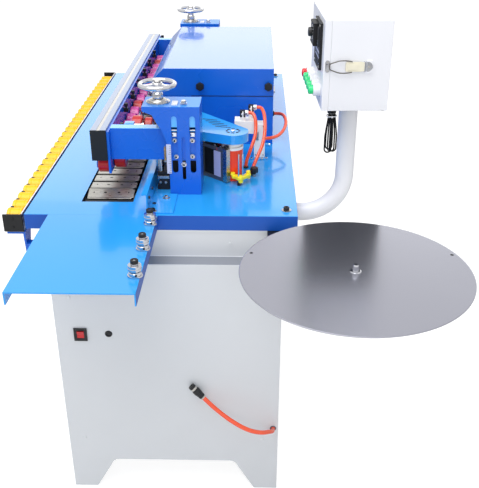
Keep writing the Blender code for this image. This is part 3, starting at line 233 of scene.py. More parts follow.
# ---------------------------------------------------------------- mesh building
class Build:
    """Gathers bevelled solids into the mesh of one piece."""

    AXIS_TURN = {"X": Matrix.Rotation(math.pi / 2, 4, "Y"),
                 "Y": Matrix.Rotation(-math.pi / 2, 4, "X"), "Z": Matrix()}
    SHARP_ANGLE = math.radians(38)

    def __init__(self, turn=None):
        self.bm = bmesh.new()
        self.turn = turn

    def merge(self, part, index, place=None):
        if place is not None:
            part.transform(place)
        if self.turn is not None:
            part.transform(self.turn)
        bmesh.ops.recalc_face_normals(part, faces=part.faces)
        for face in part.faces:
            face.material_index = index
        mesh = bpy.data.meshes.new("part")
        part.to_mesh(mesh)
        part.free()
        self.bm.from_mesh(mesh)
        bpy.data.meshes.remove(mesh)

    def solid(self, verts, faces, index=0, bevel=0.0, place=None):
        part = bmesh.new()
        made = [part.verts.new(v) for v in verts]
        for face in faces:
            part.faces.new([made[i] for i in face])
        bmesh.ops.recalc_face_normals(part, faces=part.faces)
        if bevel:
            sharp = [e for e in part.edges if e.calc_face_angle(0) > 0.6]
            bmesh.ops.bevel(part, geom=sharp, offset=bevel, segments=2, profile=0.5, affect="EDGES",
                            clamp_overlap=True)
        self.merge(part, index, place)

    def block(self, x0, x1, y0, y1, z0, z1, index=0, bevel=0.0006, place=None):
        verts = [(x, y, z) for x in (x0, x1) for y in (y0, y1) for z in (z0, z1)]
        faces = [(0, 1, 3, 2), (4, 6, 7, 5), (0, 4, 5, 1), (2, 3, 7, 6), (0, 2, 6, 4), (1, 5, 7, 3)]
        self.solid(verts, faces, index, bevel, place)

    def prism(self, outline, axis, low, high, index=0, bevel=0.0, place=None):
        def at(pair, level):
            point = list(pair)
            point.insert("XYZ".index(axis), level)
            return tuple(point)
        count = len(outline)
        verts = [at(p, low) for p in outline] + [at(p, high) for p in outline]
        faces = [tuple(range(count)), tuple(range(2 * count - 1, count - 1, -1))]
        faces += [(i, (i + 1) % count, count + (i + 1) % count, count + i) for i in range(count)]
        self.solid(verts, faces, index, bevel, place)

    def lathe(self, profile, centre=(0, 0, 0), axis="Z", sides=28, index=0, place=None):
        """Revolve (radius, height) pairs; a radius of 0 is a point, else an end is capped."""
        part = bmesh.new()
        rings = []
        for radius, height in profile:
            turns = circle(sides) if radius > 0 else [0]
            rings.append([part.verts.new((radius * math.cos(t), radius * math.sin(t), height))
                          for t in turns])
        for a, b in zip(rings, rings[1:]):
            for i in range(sides):
                j = i + 1
                corners = [a[i % len(a)], a[j % len(a)], b[j % len(b)], b[i % len(b)]]
                unique = list(dict.fromkeys(corners))
                if len(unique) > 2:
                    part.faces.new(unique)
        for ring in (rings[0], rings[-1]):
            if len(ring) > 1:
                part.faces.new(ring)
        part.transform(Matrix.Translation(centre) @ self.AXIS_TURN[axis])
        self.merge(part, index, place)

    def disc(self, radius, low, high, centre=(0, 0, 0), axis="Z", sides=24, index=0, place=None):
        self.lathe([(radius, low), (radius, high), (0, high)], centre, axis, sides, index, place)

    def loft(self, outlines, index=0, closed=False, place=None):
        """Skin over outlines of as many points each, capped unless it closes on itself."""
        part = bmesh.new()
        rings = [[part.verts.new(point) for point in outline] for outline in outlines]
        for a, b in list(zip(rings, rings[1:])) + ([(rings[-1], rings[0])] if closed else []):
            for i in range(len(a)):
                j = (i + 1) % len(a)
                part.faces.new((a[i], a[j], b[j], b[i]))
        if not closed:
            part.faces.new(rings[0])
            part.faces.new(rings[-1])
        self.merge(part, index, place)

    def tube(self, points, radius, sides=10, index=0, closed=False):
        """Round bar along a path, its frame carried from point to point."""
        points = [Vector(p) for p in points]
        count = len(points)
        outlines, normal = [], None
        for k, point in enumerate(points):
            after = points[(k + 1) % count] if closed else points[min(k + 1, count - 1)]
            before = points[k - 1] if closed or k else point
            along = (after - before).normalized()
            if normal is None:
                guess = Vector((0, 0, 1)) if abs(along.z) < 0.9 else Vector((1, 0, 0))
                normal = along.cross(guess).normalized()
            normal = (normal - along * normal.dot(along)).normalized()
            side = along.cross(normal)
            outlines.append([point + radius * (normal * math.cos(t) + side * math.sin(t))
                             for t in circle(sides)])
        self.loft(outlines, index, closed)

    def screw(self, centre, axis="Z", radius=0.004, height=0.003, index=0, sign=1, socket=True):
        """Screw head with a rounded rim and, if asked, a hex socket."""
        r, h = radius, height * sign
        profile = [(r, 0), (r, h * 0.75), (r * 0.93, h * 0.94), (r * 0.82, h)]
        if socket:
            profile += [(r * 0.5, h), (r * 0.48, h * 0.45), (0, h * 0.45)]
        else:
            profile += [(0, h * 1.05)]
        self.lathe(profile, centre, axis, 18, index)

    def knob(self, centre, axis="Z", radius=0.012, height=0.016, index=0, sign=1, lobes=8):
        """Fluted clamping knob on a short neck."""
        neck = ((0.45, 0), (0.45, 0.22))
        head = ((0.86, 0.26), (1.0, 0.36), (1.0, 0.82), (0.9, 0.97), (0.6, 1.0))
        outlines = []
        for scale, level in neck + head:
            depth = 0.1 if (scale, level) in head else 0.0
            outline = []
            for turn in circle(lobes * 6):
                r = radius * scale * (1 - depth * (0.5 + 0.5 * math.cos(lobes * turn)))
                outline.append((r * math.cos(turn), r * math.sin(turn), level * height * sign))
            outlines.append(outline)
        self.loft(outlines, index, place=Matrix.Translation(centre) @ self.AXIS_TURN[axis])

    def rim(self, axis, low, high, first, second, wide, index=0, bevel=0.0006):
        """Four bars round a rectangle; first and second are its spans on the other two axes."""
        (a0, a1), (b0, b1) = first, second
        for a, b in (((a0, a1), (b0, b0 + wide)), ((a0, a1), (b1 - wide, b1)),
                     ((a0, a0 + wide), (b0, b1)), ((a1 - wide, a1), (b0, b1))):
            spans = [a, b]
            spans.insert("XYZ".index(axis), (low, high))
            self.block(*spans[0], *spans[1], *spans[2], index, bevel)

    def done(self, name, body, mats, slot, replaces=()):
        mesh = bpy.data.meshes.new(name)
        self.bm.to_mesh(mesh)
        self.bm.free()
        obj = bpy.data.objects.new(name, mesh)
        bpy.context.collection.objects.link(obj)
        for mat in mats:
            mesh.materials.append(mat)
        mesh.shade_smooth()
        mesh.set_sharp_from_angle(angle=self.SHARP_ANGLE)
        even = obj.modifiers.new("even_normals", "WEIGHTED_NORMAL")
        even.keep_sharp = True
        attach(obj, body)
        if replaces:
            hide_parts(*replaces)
        return obj


def curve_piece(name, points, radius, mat, body, replaces):
    """One smooth spline through the points, swept to a round section."""
    data = bpy.data.curves.new(name, "CURVE")
    data.dimensions = "3D"
    data.resolution_u = 8
    spline = data.splines.new("NURBS")
    spline.points.add(len(points) - 1)
    for target, point in zip(spline.points, points):
        target.co = (*point, 1.0)
    spline.order_u = 4
    spline.use_endpoint_u = True
    data.bevel_depth = radius
    data.bevel_resolution = 6
    data.use_fill_caps = True
    data.materials.append(mat)
    obj = bpy.data.objects.new(name, data)
    bpy.context.collection.objects.link(obj)
    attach(obj, body)
    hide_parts(*replaces)
    return obj


def through(route, step=0.006):
    """Evenly spaced points on a smooth curve through the route's points."""
    ends = [2 * Vector(route[0]) - Vector(route[1])] + [Vector(p) for p in route]
    ends.append(2 * Vector(route[-1]) - Vector(route[-2]))
    dense = []
    for a, b, c, d in zip(ends, ends[1:], ends[2:], ends[3:]):
        for i in range(24):
            t = i / 24
            dense.append(0.5 * (2 * b + (c - a) * t + (2 * a - 5 * b + 4 * c - d) * t * t
                                + (3 * b - a - 3 * c + d) * t ** 3))
    dense.append(Vector(route[-1]))
    lengths = [0.0]
    for p, q in zip(dense, dense[1:]):
        lengths.append(lengths[-1] + (q - p).length)
    count = max(3, round(lengths[-1] / step))
    points, k = [], 0
    for n in range(count + 1):
        target = lengths[-1] * n / count
        while k < len(dense) - 2 and lengths[k + 1] < target:
            k += 1
        span = lengths[k + 1] - lengths[k]
        points.append(dense[k].lerp(dense[k + 1], (target - lengths[k]) / span if span else 0))
    return points


# ---------------------------------------------------------------- cords
HOSE_ROUTE = [(0.1375, -0.496, 0.2222), (0.1375, -0.504, 0.2224), (0.1372, -0.512, 0.224),
              (0.1352, -0.525, 0.2292), (0.1244, -0.541, 0.241), (0.1062, -0.556, 0.2507),
              (0.0804, -0.5645, 0.2624), (0.0548, -0.5645, 0.2744), (0.0286, -0.557, 0.2867),
              (0.0087, -0.548, 0.2959), (-0.0091, -0.539, 0.3051), (-0.0256, -0.531, 0.3155),
              (-0.0398, -0.5256, 0.3272), (-0.0532, -0.5226, 0.3405)]


def make_air_hose():
    points = through(HOSE_ROUTE, 0.011)
    hose = curve_piece("supply_hose", points, 0.006, HOSE, "machine", ["air_hose"])
    end = Vector(HOSE_ROUTE[-1])
    along = (end - Vector(HOSE_ROUTE[-2])).normalized()
    turn = along.to_track_quat("Z", "Y").to_matrix().to_4x4()
    place = Matrix.Translation(end - along * 0.001) @ turn
    union = Build()
    union.lathe([(0.0062, 0), (0.0076, 0.0004), (0.0076, 0.004), (0.0062, 0.0045)], sides=24,
                index=1, place=place)
    union.lathe([(0.0066, 0.0045), (0.0088, 0.0052), (0.0088, 0.014), (0.0098, 0.015),
                 (0.0098, 0.0165), (0.0092, 0.0172), (0.0092, 0.018), (0.0102, 0.0188),
                 (0.0105, 0.0205), (0.0105, 0.03), (0.01, 0.0318), (0.0078, 0.0325),
                 (0.0078, 0.0335)], sides=24, place=place)
    union.lathe([(0.0086, 0.0335), (0.009, 0.0342), (0.009, 0.0384), (0.0084, 0.0392)], sides=24,
                index=1, place=place)
    union.lathe([(0.008, 0.0392), (0.0092, 0.04), (0.0092, 0.047), (0.0086, 0.0482),
                 (0.0052, 0.0482), (0.005, 0.044), (0, 0.044)], sides=24, place=place)
    plug = union.done("hose_union", "machine", [BLACK, STEEL], "black_plastic",
                      replaces=["air_union"])


make_air_hose()

# Wiring folded in a hank under the box: four long bights side by side, tied close under the gland.
HANK = Vector((0.2665, -0.331, 1.0755))
CABLE_ACROSS = 0.0038
BIGHT_WIDTH = 0.0162
BIGHTS = ((-0.0063, -0.0066, 0.1), (-0.0021, 0.0066, 0.0985), (0.0021, -0.003, 0.094),
          (0.0063, 0.003, 0.1015))


def bight_route(offset, lean, depth):
    """Down from the gland, round a bight and back up, at one place across the hank."""
    half = BIGHT_WIDTH / 2
    low = -depth + half
    steps = (0.0, -0.005, -0.01, -0.018, -0.03, -0.044, -0.058, -0.07, -0.08)
    turn = [(half * math.cos(t), low - half * math.sin(t)) for t in arc(0, 181, 15)]
    down = [(half, z) for z in steps if z > low + 0.005]
    route = []
    for x, z in down + turn + [(-x, z) for x, z in reversed(down)]:
        wide = 0.5 + 0.5 * min(1.0, -z / 0.055)
        across = offset * (0.92 + 0.08 * min(1.0, -z / 0.03))
        route.append(HANK + Vector(((x + lean) * wide, across, z)))
    return route


def make_hank():
    tie = Build(BOX_TURN)
    ring = []
    for turn in circle(32):
        c, s = math.cos(turn), math.sin(turn)
        ring.append(HANK + Vector((0.0116 * math.copysign(abs(c) ** 0.5, c),
                                   0.01 * math.copysign(abs(s) ** 0.5, s), -0.0062 + 0.0006 * c)))
    tie.tube(ring, 0.0013, 8, closed=True)
    tie.block(HANK.x - 0.002, HANK.x + 0.002, HANK.y - 0.0126, HANK.y - 0.0098, HANK.z - 0.009,
              HANK.z - 0.004)
    band = tie.done("hank_tie", "machine", [WHITE], "white_paint")
    for number, (offset, lean, depth) in enumerate(BIGHTS, 1):
        points = [BOX_TURN @ p for p in through(bight_route(offset, lean, depth), 0.003)]
        cable = curve_piece(f"wiring_bight_{number}", points, CABLE_ACROSS / 2, DEEP_BLACK,
                            "machine", ["cable_hank"])


make_hank()


# ---------------------------------------------------------------- room and light
def make_world():
    """Soft even light on the object, plain white behind it."""
    world = bpy.data.worlds.new("white_room")
    bpy.context.scene.world = world
    world.use_nodes = True
    nodes, links = world.node_tree.nodes, world.node_tree.links
    path = nodes.new("ShaderNodeLightPath")
    seen = path.outputs["Is Camera Ray"]
    for ray in ("Is Glossy Ray", "Is Transmission Ray"):
        either = nodes.new("ShaderNodeMath")
        either.operation = "MAXIMUM"
        links.new(seen, either.inputs[0])
        links.new(path.outputs[ray], either.inputs[1])
        seen = either.outputs[0]
    mix = nodes.new("ShaderNodeMixShader")
    links.new(seen, mix.inputs[0])
    for socket, colour, strength in ((1, (0.97, 0.985, 1.0, 1), 0.55), (2, (1, 1, 1, 1), 1.0)):
        light = nodes.new("ShaderNodeBackground")
        light.inputs["Color"].default_value = colour
        light.inputs["Strength"].default_value = strength
        links.new(light.outputs[0], mix.inputs[socket])
    links.new(mix.outputs[0], nodes["World Output"].inputs["Surface"])


def stage_card(name, corners, mat):
    mesh = bpy.data.meshes.new(name)
    mesh.from_pydata(corners, [], [(0, 1, 2, 3)])
    card = bpy.data.objects.new(name, mesh)
    bpy.context.collection.objects.link(card)
    mesh.materials.append(mat)
    return card


def make_floor():
    """Floor that reads white to the camera and keeps the object's shadow."""
    paper = bpy.data.materials.new("white_floor")
    paper.use_nodes = True
    nodes, links = paper.node_tree.nodes, paper.node_tree.links
    nodes.remove(nodes["Principled BSDF"])
    path = nodes.new("ShaderNodeLightPath")
    matt, half = nodes.new("ShaderNodeBsdfDiffuse"), nodes.new("ShaderNodeBsdfDiffuse")
    matt.inputs["Color"].default_value = (0.8, 0.8, 0.8, 1)
    half.inputs["Color"].default_value = (0.42, 0.42, 0.42, 1)
    glow = nodes.new("ShaderNodeEmission")
    glow.inputs["Strength"].default_value = 0.82
    both = nodes.new("ShaderNodeAddShader")
    links.new(half.outputs[0], both.inputs[0])
    links.new(glow.outputs[0], both.inputs[1])
    mix = nodes.new("ShaderNodeMixShader")
    links.new(path.outputs["Is Camera Ray"], mix.inputs[0])
    links.new(matt.outputs[0], mix.inputs[1])
    links.new(both.outputs[0], mix.inputs[2])
    links.new(mix.outputs[0], nodes["Material Output"].inputs["Surface"])
    stage_card("floor", [(-20, -20, 0), (20, -20, 0), (20, 20, 0), (-20, 20, 0)], paper)


def make_flag():
    """Dark card over the tray, seen only as a reflection in its disc."""
    dark = bpy.data.materials.new("flag_black")
    dark.use_nodes = True
    nodes, links = dark.node_tree.nodes, dark.node_tree.links
    nodes.remove(nodes["Principled BSDF"])
    dull = nodes.new("ShaderNodeEmission")
    dull.inputs["Color"].default_value = (0.05, 0.054, 0.066, 1)
    links.new(dull.outputs[0], nodes["Material Output"].inputs["Surface"])
    x0, x1, y, z0, z1 = 0.205, 0.4, -0.392, 0.86, 1.095
    flag = stage_card("flag", [(x0, y, z0), (x1, y, z0), (x1, y, z1), (x0, y, z1)], dark)
    flag.visible_camera = flag.visible_diffuse = False
    flag.visible_shadow = flag.visible_transmission = False


def area_light(name, place, target, size, watts, wide=None, seen=True):
    data = bpy.data.lights.new(name, "AREA")
    data.energy = watts
    data.size = size
    if wide:
        data.shape = "RECTANGLE"
        data.size = wide
        data.size_y = size
    lamp = bpy.data.objects.new(name, data)
    lamp.location = place
    lamp.rotation_euler = (Vector(target) - Vector(place)).to_track_quat("-Z", "Y").to_euler()
    lamp.visible_camera = False
    lamp.visible_glossy = seen
    bpy.context.collection.objects.link(lamp)


make_world()
make_floor()
make_flag()
area_light("key", (-0.8, -1.2, 4.5), (0, 0, 0.8), 3.5, 150)
area_light("front_fill", (0.6, -4.6, 1.9), (0, 0, 0.6), 2.6, 55, seen=False)
area_light("back_softbox", (0.4, 5.2, 2.5), (0.1, 0, 1.0), 1.6, 24, wide=6.0)


# ---------------------------------------------------------------- base plate, riser, cabinet
def cap_screw(build, x, y, z, radius):
    """Socket cap screw on its washer, in the build's materials 0 and 1."""
    build.lathe([(radius * 1.7, 0), (radius * 1.7, 0.0012), (radius * 1.6, 0.0016), (0, 0.0016)],
                (x, y, z), sides=24, index=1)
    build.lathe([(radius, 0), (radius, radius * 0.85), (radius * 0.92, radius),
                 (radius * 0.55, radius), (radius * 0.53, radius * 0.4), (0, radius * 0.4)],
                (x, y, z + 0.0016), sides=24)


def plate_fittings():
    b = Build()
    for x, y, lift, radius in ((0.16, -0.42, 0.0002, 0.0075), (0.16, 0.905, 0.0002, 0.0062),
                               (-0.172, -0.4385, 0.0034, 0.005)):
        cap_screw(b, x, y, PLATE_TOP + lift, radius)
    b.done("plate_screws", "machine", [BLACK, STEEL], "black_plastic")
    b = Build()
    for x in (-0.394, -0.331, -0.262, -0.198):
        b.disc(0.0092, 0, 0.0012, (x, -0.4585, 0.832), "Y", 22, 1)
        b.screw((x, -0.4597, 0.832), "Y", 0.0058, 0.005, 0, -1)
    b.done("apron_screws", "machine", [DEEP_BLACK, STEEL], "black_plastic")
    b = Build()
    for x in (-0.36, -0.2, 0.02):
        b.screw((x, -0.4562, 0.774), "Y", 0.0048, 0.0026, 0, -1, socket=False)
    b.block(-0.3955, 0.1115, -0.4574, -0.4562, 0.8045, 0.8095, 0, 0.0003)
    b.done("riser_rivets", "machine", [GREY], "grey_paint")


def apron_shade_skins():
    """Painted shade: a darker blue skin, a hair proud, on the plate's upright edges and on two
    upright folds in front of it.
    """
    lo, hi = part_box("base_plate")
    along_x, along_y = (lo.x + 0.0004, hi.x - 0.0004), (lo.y + 0.0005, hi.y - 0.0005)
    upright = (lo.z + 0.0002, hi.z - 0.0012, 0, 0.0003)
    b = Build()
    b.block(*along_x, lo.y - 0.0006, lo.y + 0.0001, *upright)
    b.block(*along_x, hi.y - 0.0001, hi.y + 0.0006, *upright)
    b.block(hi.x - 0.0002, hi.x + 0.0006, *along_y, *upright)
    b.block(lo.x - 0.0006, lo.x + 0.0002, *along_y, *upright)
    for x in (-0.4324, -0.1604):
        b.block(x, x + 0.0008, -0.8371, -0.457, 0.8202, 0.849, 0, 0.0003)
    b.done("apron_shade_skins", "machine", [APRON_SHADE], "blue_paint")


def cabinet_trim():
    lo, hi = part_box("cabinet")
    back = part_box("riser_frame")[0].y
    b = Build()
    # Painted shadow: a darker grey skin over the cabinet's top ledge in front of the riser.
    b.block(lo.x + 0.004, hi.x - 0.004, lo.y + 0.0022, back - 0.0006, hi.z - 0.0004, hi.z + 0.0004,
            0, 0.0002)
    # Painted highlight: a thin white strip along the ledge's back edge.
    b.block(lo.x + 0.004, hi.x - 0.004, back - 0.0034, back - 0.0008, hi.z, hi.z + 0.0012, 1,
            0.0003)
    b.done("cabinet_ledge_shade_and_highlight", "machine", [LEDGE_SHADE, WHITE], "grey_paint")
    b = Build()
    for x in (lo.x, hi.x - 0.0006):
        b.block(x, x + 0.0006, -0.5048, -0.5042, 0.104, 0.7368, 0, 0.0001)
    b.done("cabinet_corner_beads", "machine", [GREY], "grey_paint")
    b = Build()
    rivet = [(0.0052, 0), (0.0052, 0.001), (0.004, 0.0022), (0, 0.0026)]
    for z in (0.64, 0.18):
        for x in (-0.392, 0.108):
            b.lathe(downward(rivet), (x, lo.y, z), "Y", 18)
        for y in (-0.35, 0.05, 0.45, 0.85):
            b.lathe(rivet, (hi.x, y, z), "X", 18)
    b.done("cabinet_rivets", "machine", [GREY], "grey_paint")


def rocker_and_grommet():
    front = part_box("cabinet")[0].y
    lo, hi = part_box("switch_bezel")
    b = Build()
    b.rim("Y", lo.y - 0.0006, lo.y + 0.0012, (lo.x - 0.001, hi.x + 0.001),
          (lo.z - 0.001, hi.z + 0.001), 0.0028)
    b.done("bezel_rim", "machine", [BLACK], "black_plastic")
    b = Build()
    b.lathe(downward([(0.0098, 0), (0.0098, 0.0008), (0.0088, 0.0024), (0.0072, 0.0028),
                      (0.006, 0.002), (0.0055, 0.0004), (0, 0.0004)]), (-0.298, front, 0.53), "Y",
            32)
    b.done("grommet", "machine", [BLACK], "black_plastic")
    b = Build()
    b.lathe(downward([(0.0088, 0), (0.0088, 0.0008), (0.008, 0.0016), (0.0072, 0.0018),
                      (0.0066, 0.0014), (0.0063, 0.0004), (0, 0.0004)]),
            (HOSE_ROUTE[0][0], front, HOSE_ROUTE[0][2]), "Y", 32)
    b.done("hose_grommet", "machine", [CASTING], "black_plastic")


# ---------------------------------------------------------------- infeed table, posts and fence
def infeed_fittings():
    b = Build()
    cap_screw(b, -0.168, -0.476, PLATE_TOP + 0.0002, 0.0058)
    b.done("infeed_bolt", "machine", [BLACK, STEEL], "black_plastic")
    for k in (1, 2, 3):
        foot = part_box(f"guide_post_{k}")[0].z
        low, top = (corner.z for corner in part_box(f"guide_roller_{k}"))
        x, y, _ = middle(f"guide_roller_{k}")
        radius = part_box(f"guide_roller_{k}")[1].x - x
        b = Build()
        b.lathe([(0.0081, 0.8812), (0.0087, 0.8816), (0.0087, 0.8884), (0.0077, 0.8896),
                 (0.004, 0.8896), (0.0038, 0.8872), (0, 0.8872)], (x, y, 0))
        oval = [(x + shift + 0.013 * math.cos(t), y + 0.013 * math.sin(t))
                for shift, first in ((0.0038, -90), (-0.0038, 90))
                for t in arc(first, first + 180, 15)]
        b.prism(oval, "Z", foot + 0.0001, foot + 0.0044, 1, 0.0012)
        b.lathe([(0.0125, foot + 0.0042), (0.0138, foot + 0.0048), (0.0138, foot + 0.0098),
                 (0.0129, foot + 0.0108), (0.0125, foot + 0.0108)], (x, y, 0), sides=36, index=1)
        b.lathe([(0, -0.0005), (0.0026, -0.0003), (0.0026, 0.003)],
                (x + 0.004, y - 0.0136, foot + 0.0074), "Y", 14)
        b.done(f"post_nut_{k}", "machine", [DEEP_BLACK, CHROME], "steel")
        b = Build()
        b.lathe([(radius + 0.0004, low + 0.004), (radius + 0.0008, low + 0.0046),
                 (radius + 0.0008, low + 0.0054), (radius + 0.0004, low + 0.006)], (x, y, 0),
                sides=32)
        b.lathe([(radius - 0.002, top - 0.0004), (radius - 0.0024, top + 0.0006),
                 (radius - 0.006, top + 0.0008), (radius - 0.0064, top - 0.0004)], (x, y, 0),
                sides=32)
        b.done(f"roller_race_{k}", f"guide_roller_{k}", [CHROME], "chrome")


def fence_fittings():
    b = Build()
    b.screw((-0.149, -0.355, 0.8532), "Z", 0.006, 0.0058, 2)
    b.disc(0.0095, 0, 0.0014, (-0.149, -0.355, 0.8522), sides=22, index=1)
    for y in (-0.425, -0.392):
        b.screw((-0.1755, y, PLATE_TOP + 0.0005), "Z", 0.005, 0.005, 0)
    for y in (-0.415, -0.355, -0.165):
        b.screw((-0.1848, y, 0.88), "X", 0.0042, 0.003, 0)
    b.done("fence_screws", "machine", [BLACK, STEEL, CHROME], "black_plastic")


# ---------------------------------------------------------------- roller rail
def rail():
    b = Build()
    b.block(-0.5485, -0.4985, -0.4575, -0.4522, 0.801, 0.848, 0, 0.0016)
    for z in (0.813, 0.837):
        b.screw((-0.5235, -0.4575, z), "Y", 0.0036, 0.0016, 0, -1)
    lo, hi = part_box("roller_rail")
    b.block(lo[0] - 0.0006, hi[0] + 0.0006, hi[1] - 0.002, hi[1] + 0.003, lo[2] - 0.0006,
            hi[2] + 0.0006, 0, 0.0014)
    b.done("rail_end_caps", "machine", [DEEP_BLACK], "black_plastic")
    b = Build()
    for z in (0.812, 0.823, 0.834):
        b.block(-0.5004, -0.499, -0.452, 0.946, z - 0.0012, z + 0.0012, 0, 0.0004)
    b.block(-0.5026, -0.4996, -0.4515, 0.948, 0.8478, 0.8492, 1, 0.0004)
    b.block(-0.5032, -0.5024, -0.4515, 0.948, 0.846, 0.848, 2, 0.0002)
    b.done("rail_grooves", "machine", [ALU, WHITE, ORANGE], "aluminium")
    b = Build()
    for k in range(RAIL_ROLLERS - 1):
        y = FIRST_ROLLER_Y + RAIL_PITCH * (k + 0.5)
        b.block(-0.544, -0.536, y - 0.0034, y + 0.0034, 0.83, 0.844, 0, 0.001)
    b.done("roller_spacers", "machine", [DEEP_BLACK], "black_plastic")
    rollers, rims = Build(), Build()
    x0, x1 = -0.544, -0.503
    for k in range(RAIL_ROLLERS):
        axle = (0, FIRST_ROLLER_Y + RAIL_PITCH * k, 0.8279)
        rollers.lathe([(0.0165, x0 + 0.0002), (0.0205, x0 + 0.0006), (0.0224, x0 + 0.0024),
                       (0.0224, x0 + 0.009), (0.0216, x0 + 0.0096), (0.0216, x0 + 0.0104),
                       (0.0224, x0 + 0.011), (0.0224, x1 - 0.0096), (0.0216, x1 - 0.0092),
                       (0.0216, x1 - 0.0084), (0.0224, x1 - 0.0078), (0.0224, x1 - 0.0024),
                       (0.0205, x1 - 0.0006), (0.0165, x1 - 0.0002)], axle, "X", 28, 0)
        rims.lathe([(0.005, x1 - 0.0004), (0.0168, x1 - 0.0004), (0.0168, x1 + 0.0009),
                    (0.015, x1 + 0.0012), (0.014, x1 + 0.0004), (0.0075, x1 + 0.0004),
                    (0.006, x1 + 0.001), (0.0048, x1 + 0.001)], axle, "X", 26, 0)
        rims.lathe([(0.0047, x1 - 0.0002), (0.0047, x1 + 0.0016), (0.0038, x1 + 0.0022),
                    (0, x1 + 0.0022)], axle, "X", 16, 1)
    rollers.done("support_rollers", "machine", [YELLOW], "yellow_plastic",
                 replaces=["rail_rollers"])
    rims.done("roller_hubs", "machine", [WHITE, BLACK], "white_paint")
    b = Build()
    lo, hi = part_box("rail_bracket_front")
    b.screw(((lo[0] + hi[0]) / 2 + 0.012, lo[1], (lo[2] + hi[2]) / 2), "Y", 0.005, 0.004, 0, -1)
    b.done("rail_bracket_bolt", "machine", [STEEL], "steel")


# ---------------------------------------------------------------- feed chain
def chain_loop():
    """Pads along the flats and round both drums, each on its dark link block."""
    pads, links = Build(), Build()
    near, far = middle("idler_drum"), middle("drive_drum")
    middle_x = middle("feed_chain").x
    flat_pads = round((far.y - near.y) / PAD_PITCH)
    places = []
    for k in range(flat_pads):
        y = near.y + PAD_PITCH * (k + 0.5)
        places += [(y, 0.0), (near.y + far.y - y, math.pi)]
    for k in range(5):
        places += [(near.y, math.radians(18 + 36 * k)), (far.y, math.radians(-18 - 36 * k))]
    for n, (y, turn) in enumerate(places):
        place = Matrix.Translation((middle_x, y, near.z)) @ Matrix.Rotation(turn, 4, "X")
        half = 0.0204 if n < 2 * flat_pads else 0.02
        outline = [(-0.0608, -half), (0.053, -half), (0.0606, -half + 0.006),
                   (0.0606, half - 0.006), (0.053, half), (-0.0608, half)]
        pads.prism(outline, "Z", 0.0738, 0.0759, 0, 0.0007, place)
        pads.prism([(px * 0.985, py * 0.965) for px, py in outline], "Z", 0.0712, 0.074, 1, 0.0004,
                   place)
        # Painted shade: black marks a hair proud of each pad stand for the shade in its slots; the
        # black strip along one edge is painted shade too.
        for x in (-0.046, -0.016, 0.02, 0.046):
            wide = 0.0085 if abs(x) < 0.03 else 0.0032
            slot_shade = [(x + wide * math.cos(t) * 0.5, 0.003 * math.sin(t) + 0.004)
                         for t in arc(0, 360, 30)]
            pads.prism(slot_shade, "Z", 0.0757, 0.07605, 1, 0, place)
        pads.block(-0.06, 0.052, -half + 0.003, -half + 0.0042, 0.0756, 0.07604, 1, 0, place)
        links.block(-0.056, 0.056, -0.0235, 0.0235, 0.0608, 0.0714, 0, 0.001, place)
        for x in (-0.0585, 0.0555):
            links.block(x, x + 0.003, -0.025, 0.025, 0.0612, 0.07, 1, 0.0008, place)
            links.disc(0.0035, 0, 0.0012, (x + (0.003 if x > 0 else -0.0012), 0.01, 0.0655), "X",
                       10, 1, place)
    # Painted shade: a black sheet over the chain window where the pads lie in shade.
    shade_sheet = Build()
    shade_sheet.block(-0.3636, -0.2344, -0.3752, -0.3395, 0.838, 0.84, 0, 0.0004)
    shade_sheet.done("window_shade_sheet", "machine", [DEEP_BLACK], "dark_casting")
    pads.done("chain_pads", "machine", [PAD, DEEP_BLACK], "steel", replaces=["feed_chain"])
    links.done("chain_links", "machine", [DEEP_BLACK, STEEL], "dark_casting")


# ---------------------------------------------------------------- press beam and its wheels
def beam_dressing():
    b = Build()
    for y in (-0.3228, 0.8663):
        b.block(-0.3408, -0.2992, y, y + 0.0025, 0.9412, 1.0228, 0, 0.0012)
    b.done("beam_end_caps", "beam", [DEEP_BLACK], "black_plastic")
    ends = (-0.32, 0.866)
    b = Build()
    for x in (-0.34, -0.316):
        b.block(x, x + 0.0155, *ends, 1.0218, 1.0232, 0, 0.0004)
    b.block(-0.3262, -0.314, *ends, 1.0219, 1.0223, 1, 0.0)
    for z in (0.953, 0.979, 1.005):
        b.block(-0.3412, -0.3398, *ends, z - 0.0075, z + 0.0075, 0, 0.0004)
    b.done("beam_ribs", "beam", [ALU, STEEL], "aluminium")


def one_wheel(tyres, hubs, x0, width, y, z, radius, side=1):
    """Crowned tyre, recessed hub and bearing of a press wheel; side 1 has its face right."""
    a, b = x0, x0 + width
    tyres.lathe([(radius * 0.62, a), (radius * 0.93, a), (radius, a + 0.0022), (radius, b - 0.0022),
                 (radius * 0.93, b), (radius * 0.62, b)], (0, y, z), "X", 40)
    face = b if side > 0 else a
    steps = ((0.61, -0.001), (0.61, 0.0004), (0.5, 0.0006), (0.46, -0.0012), (0.34, -0.0012),
             (0.32, 0.001), (0.22, 0.0012), (0.2, -0.0005))
    hubs.lathe([(radius * scale, face + step * side) for scale, step in steps], (0, y, z), "X", 32)


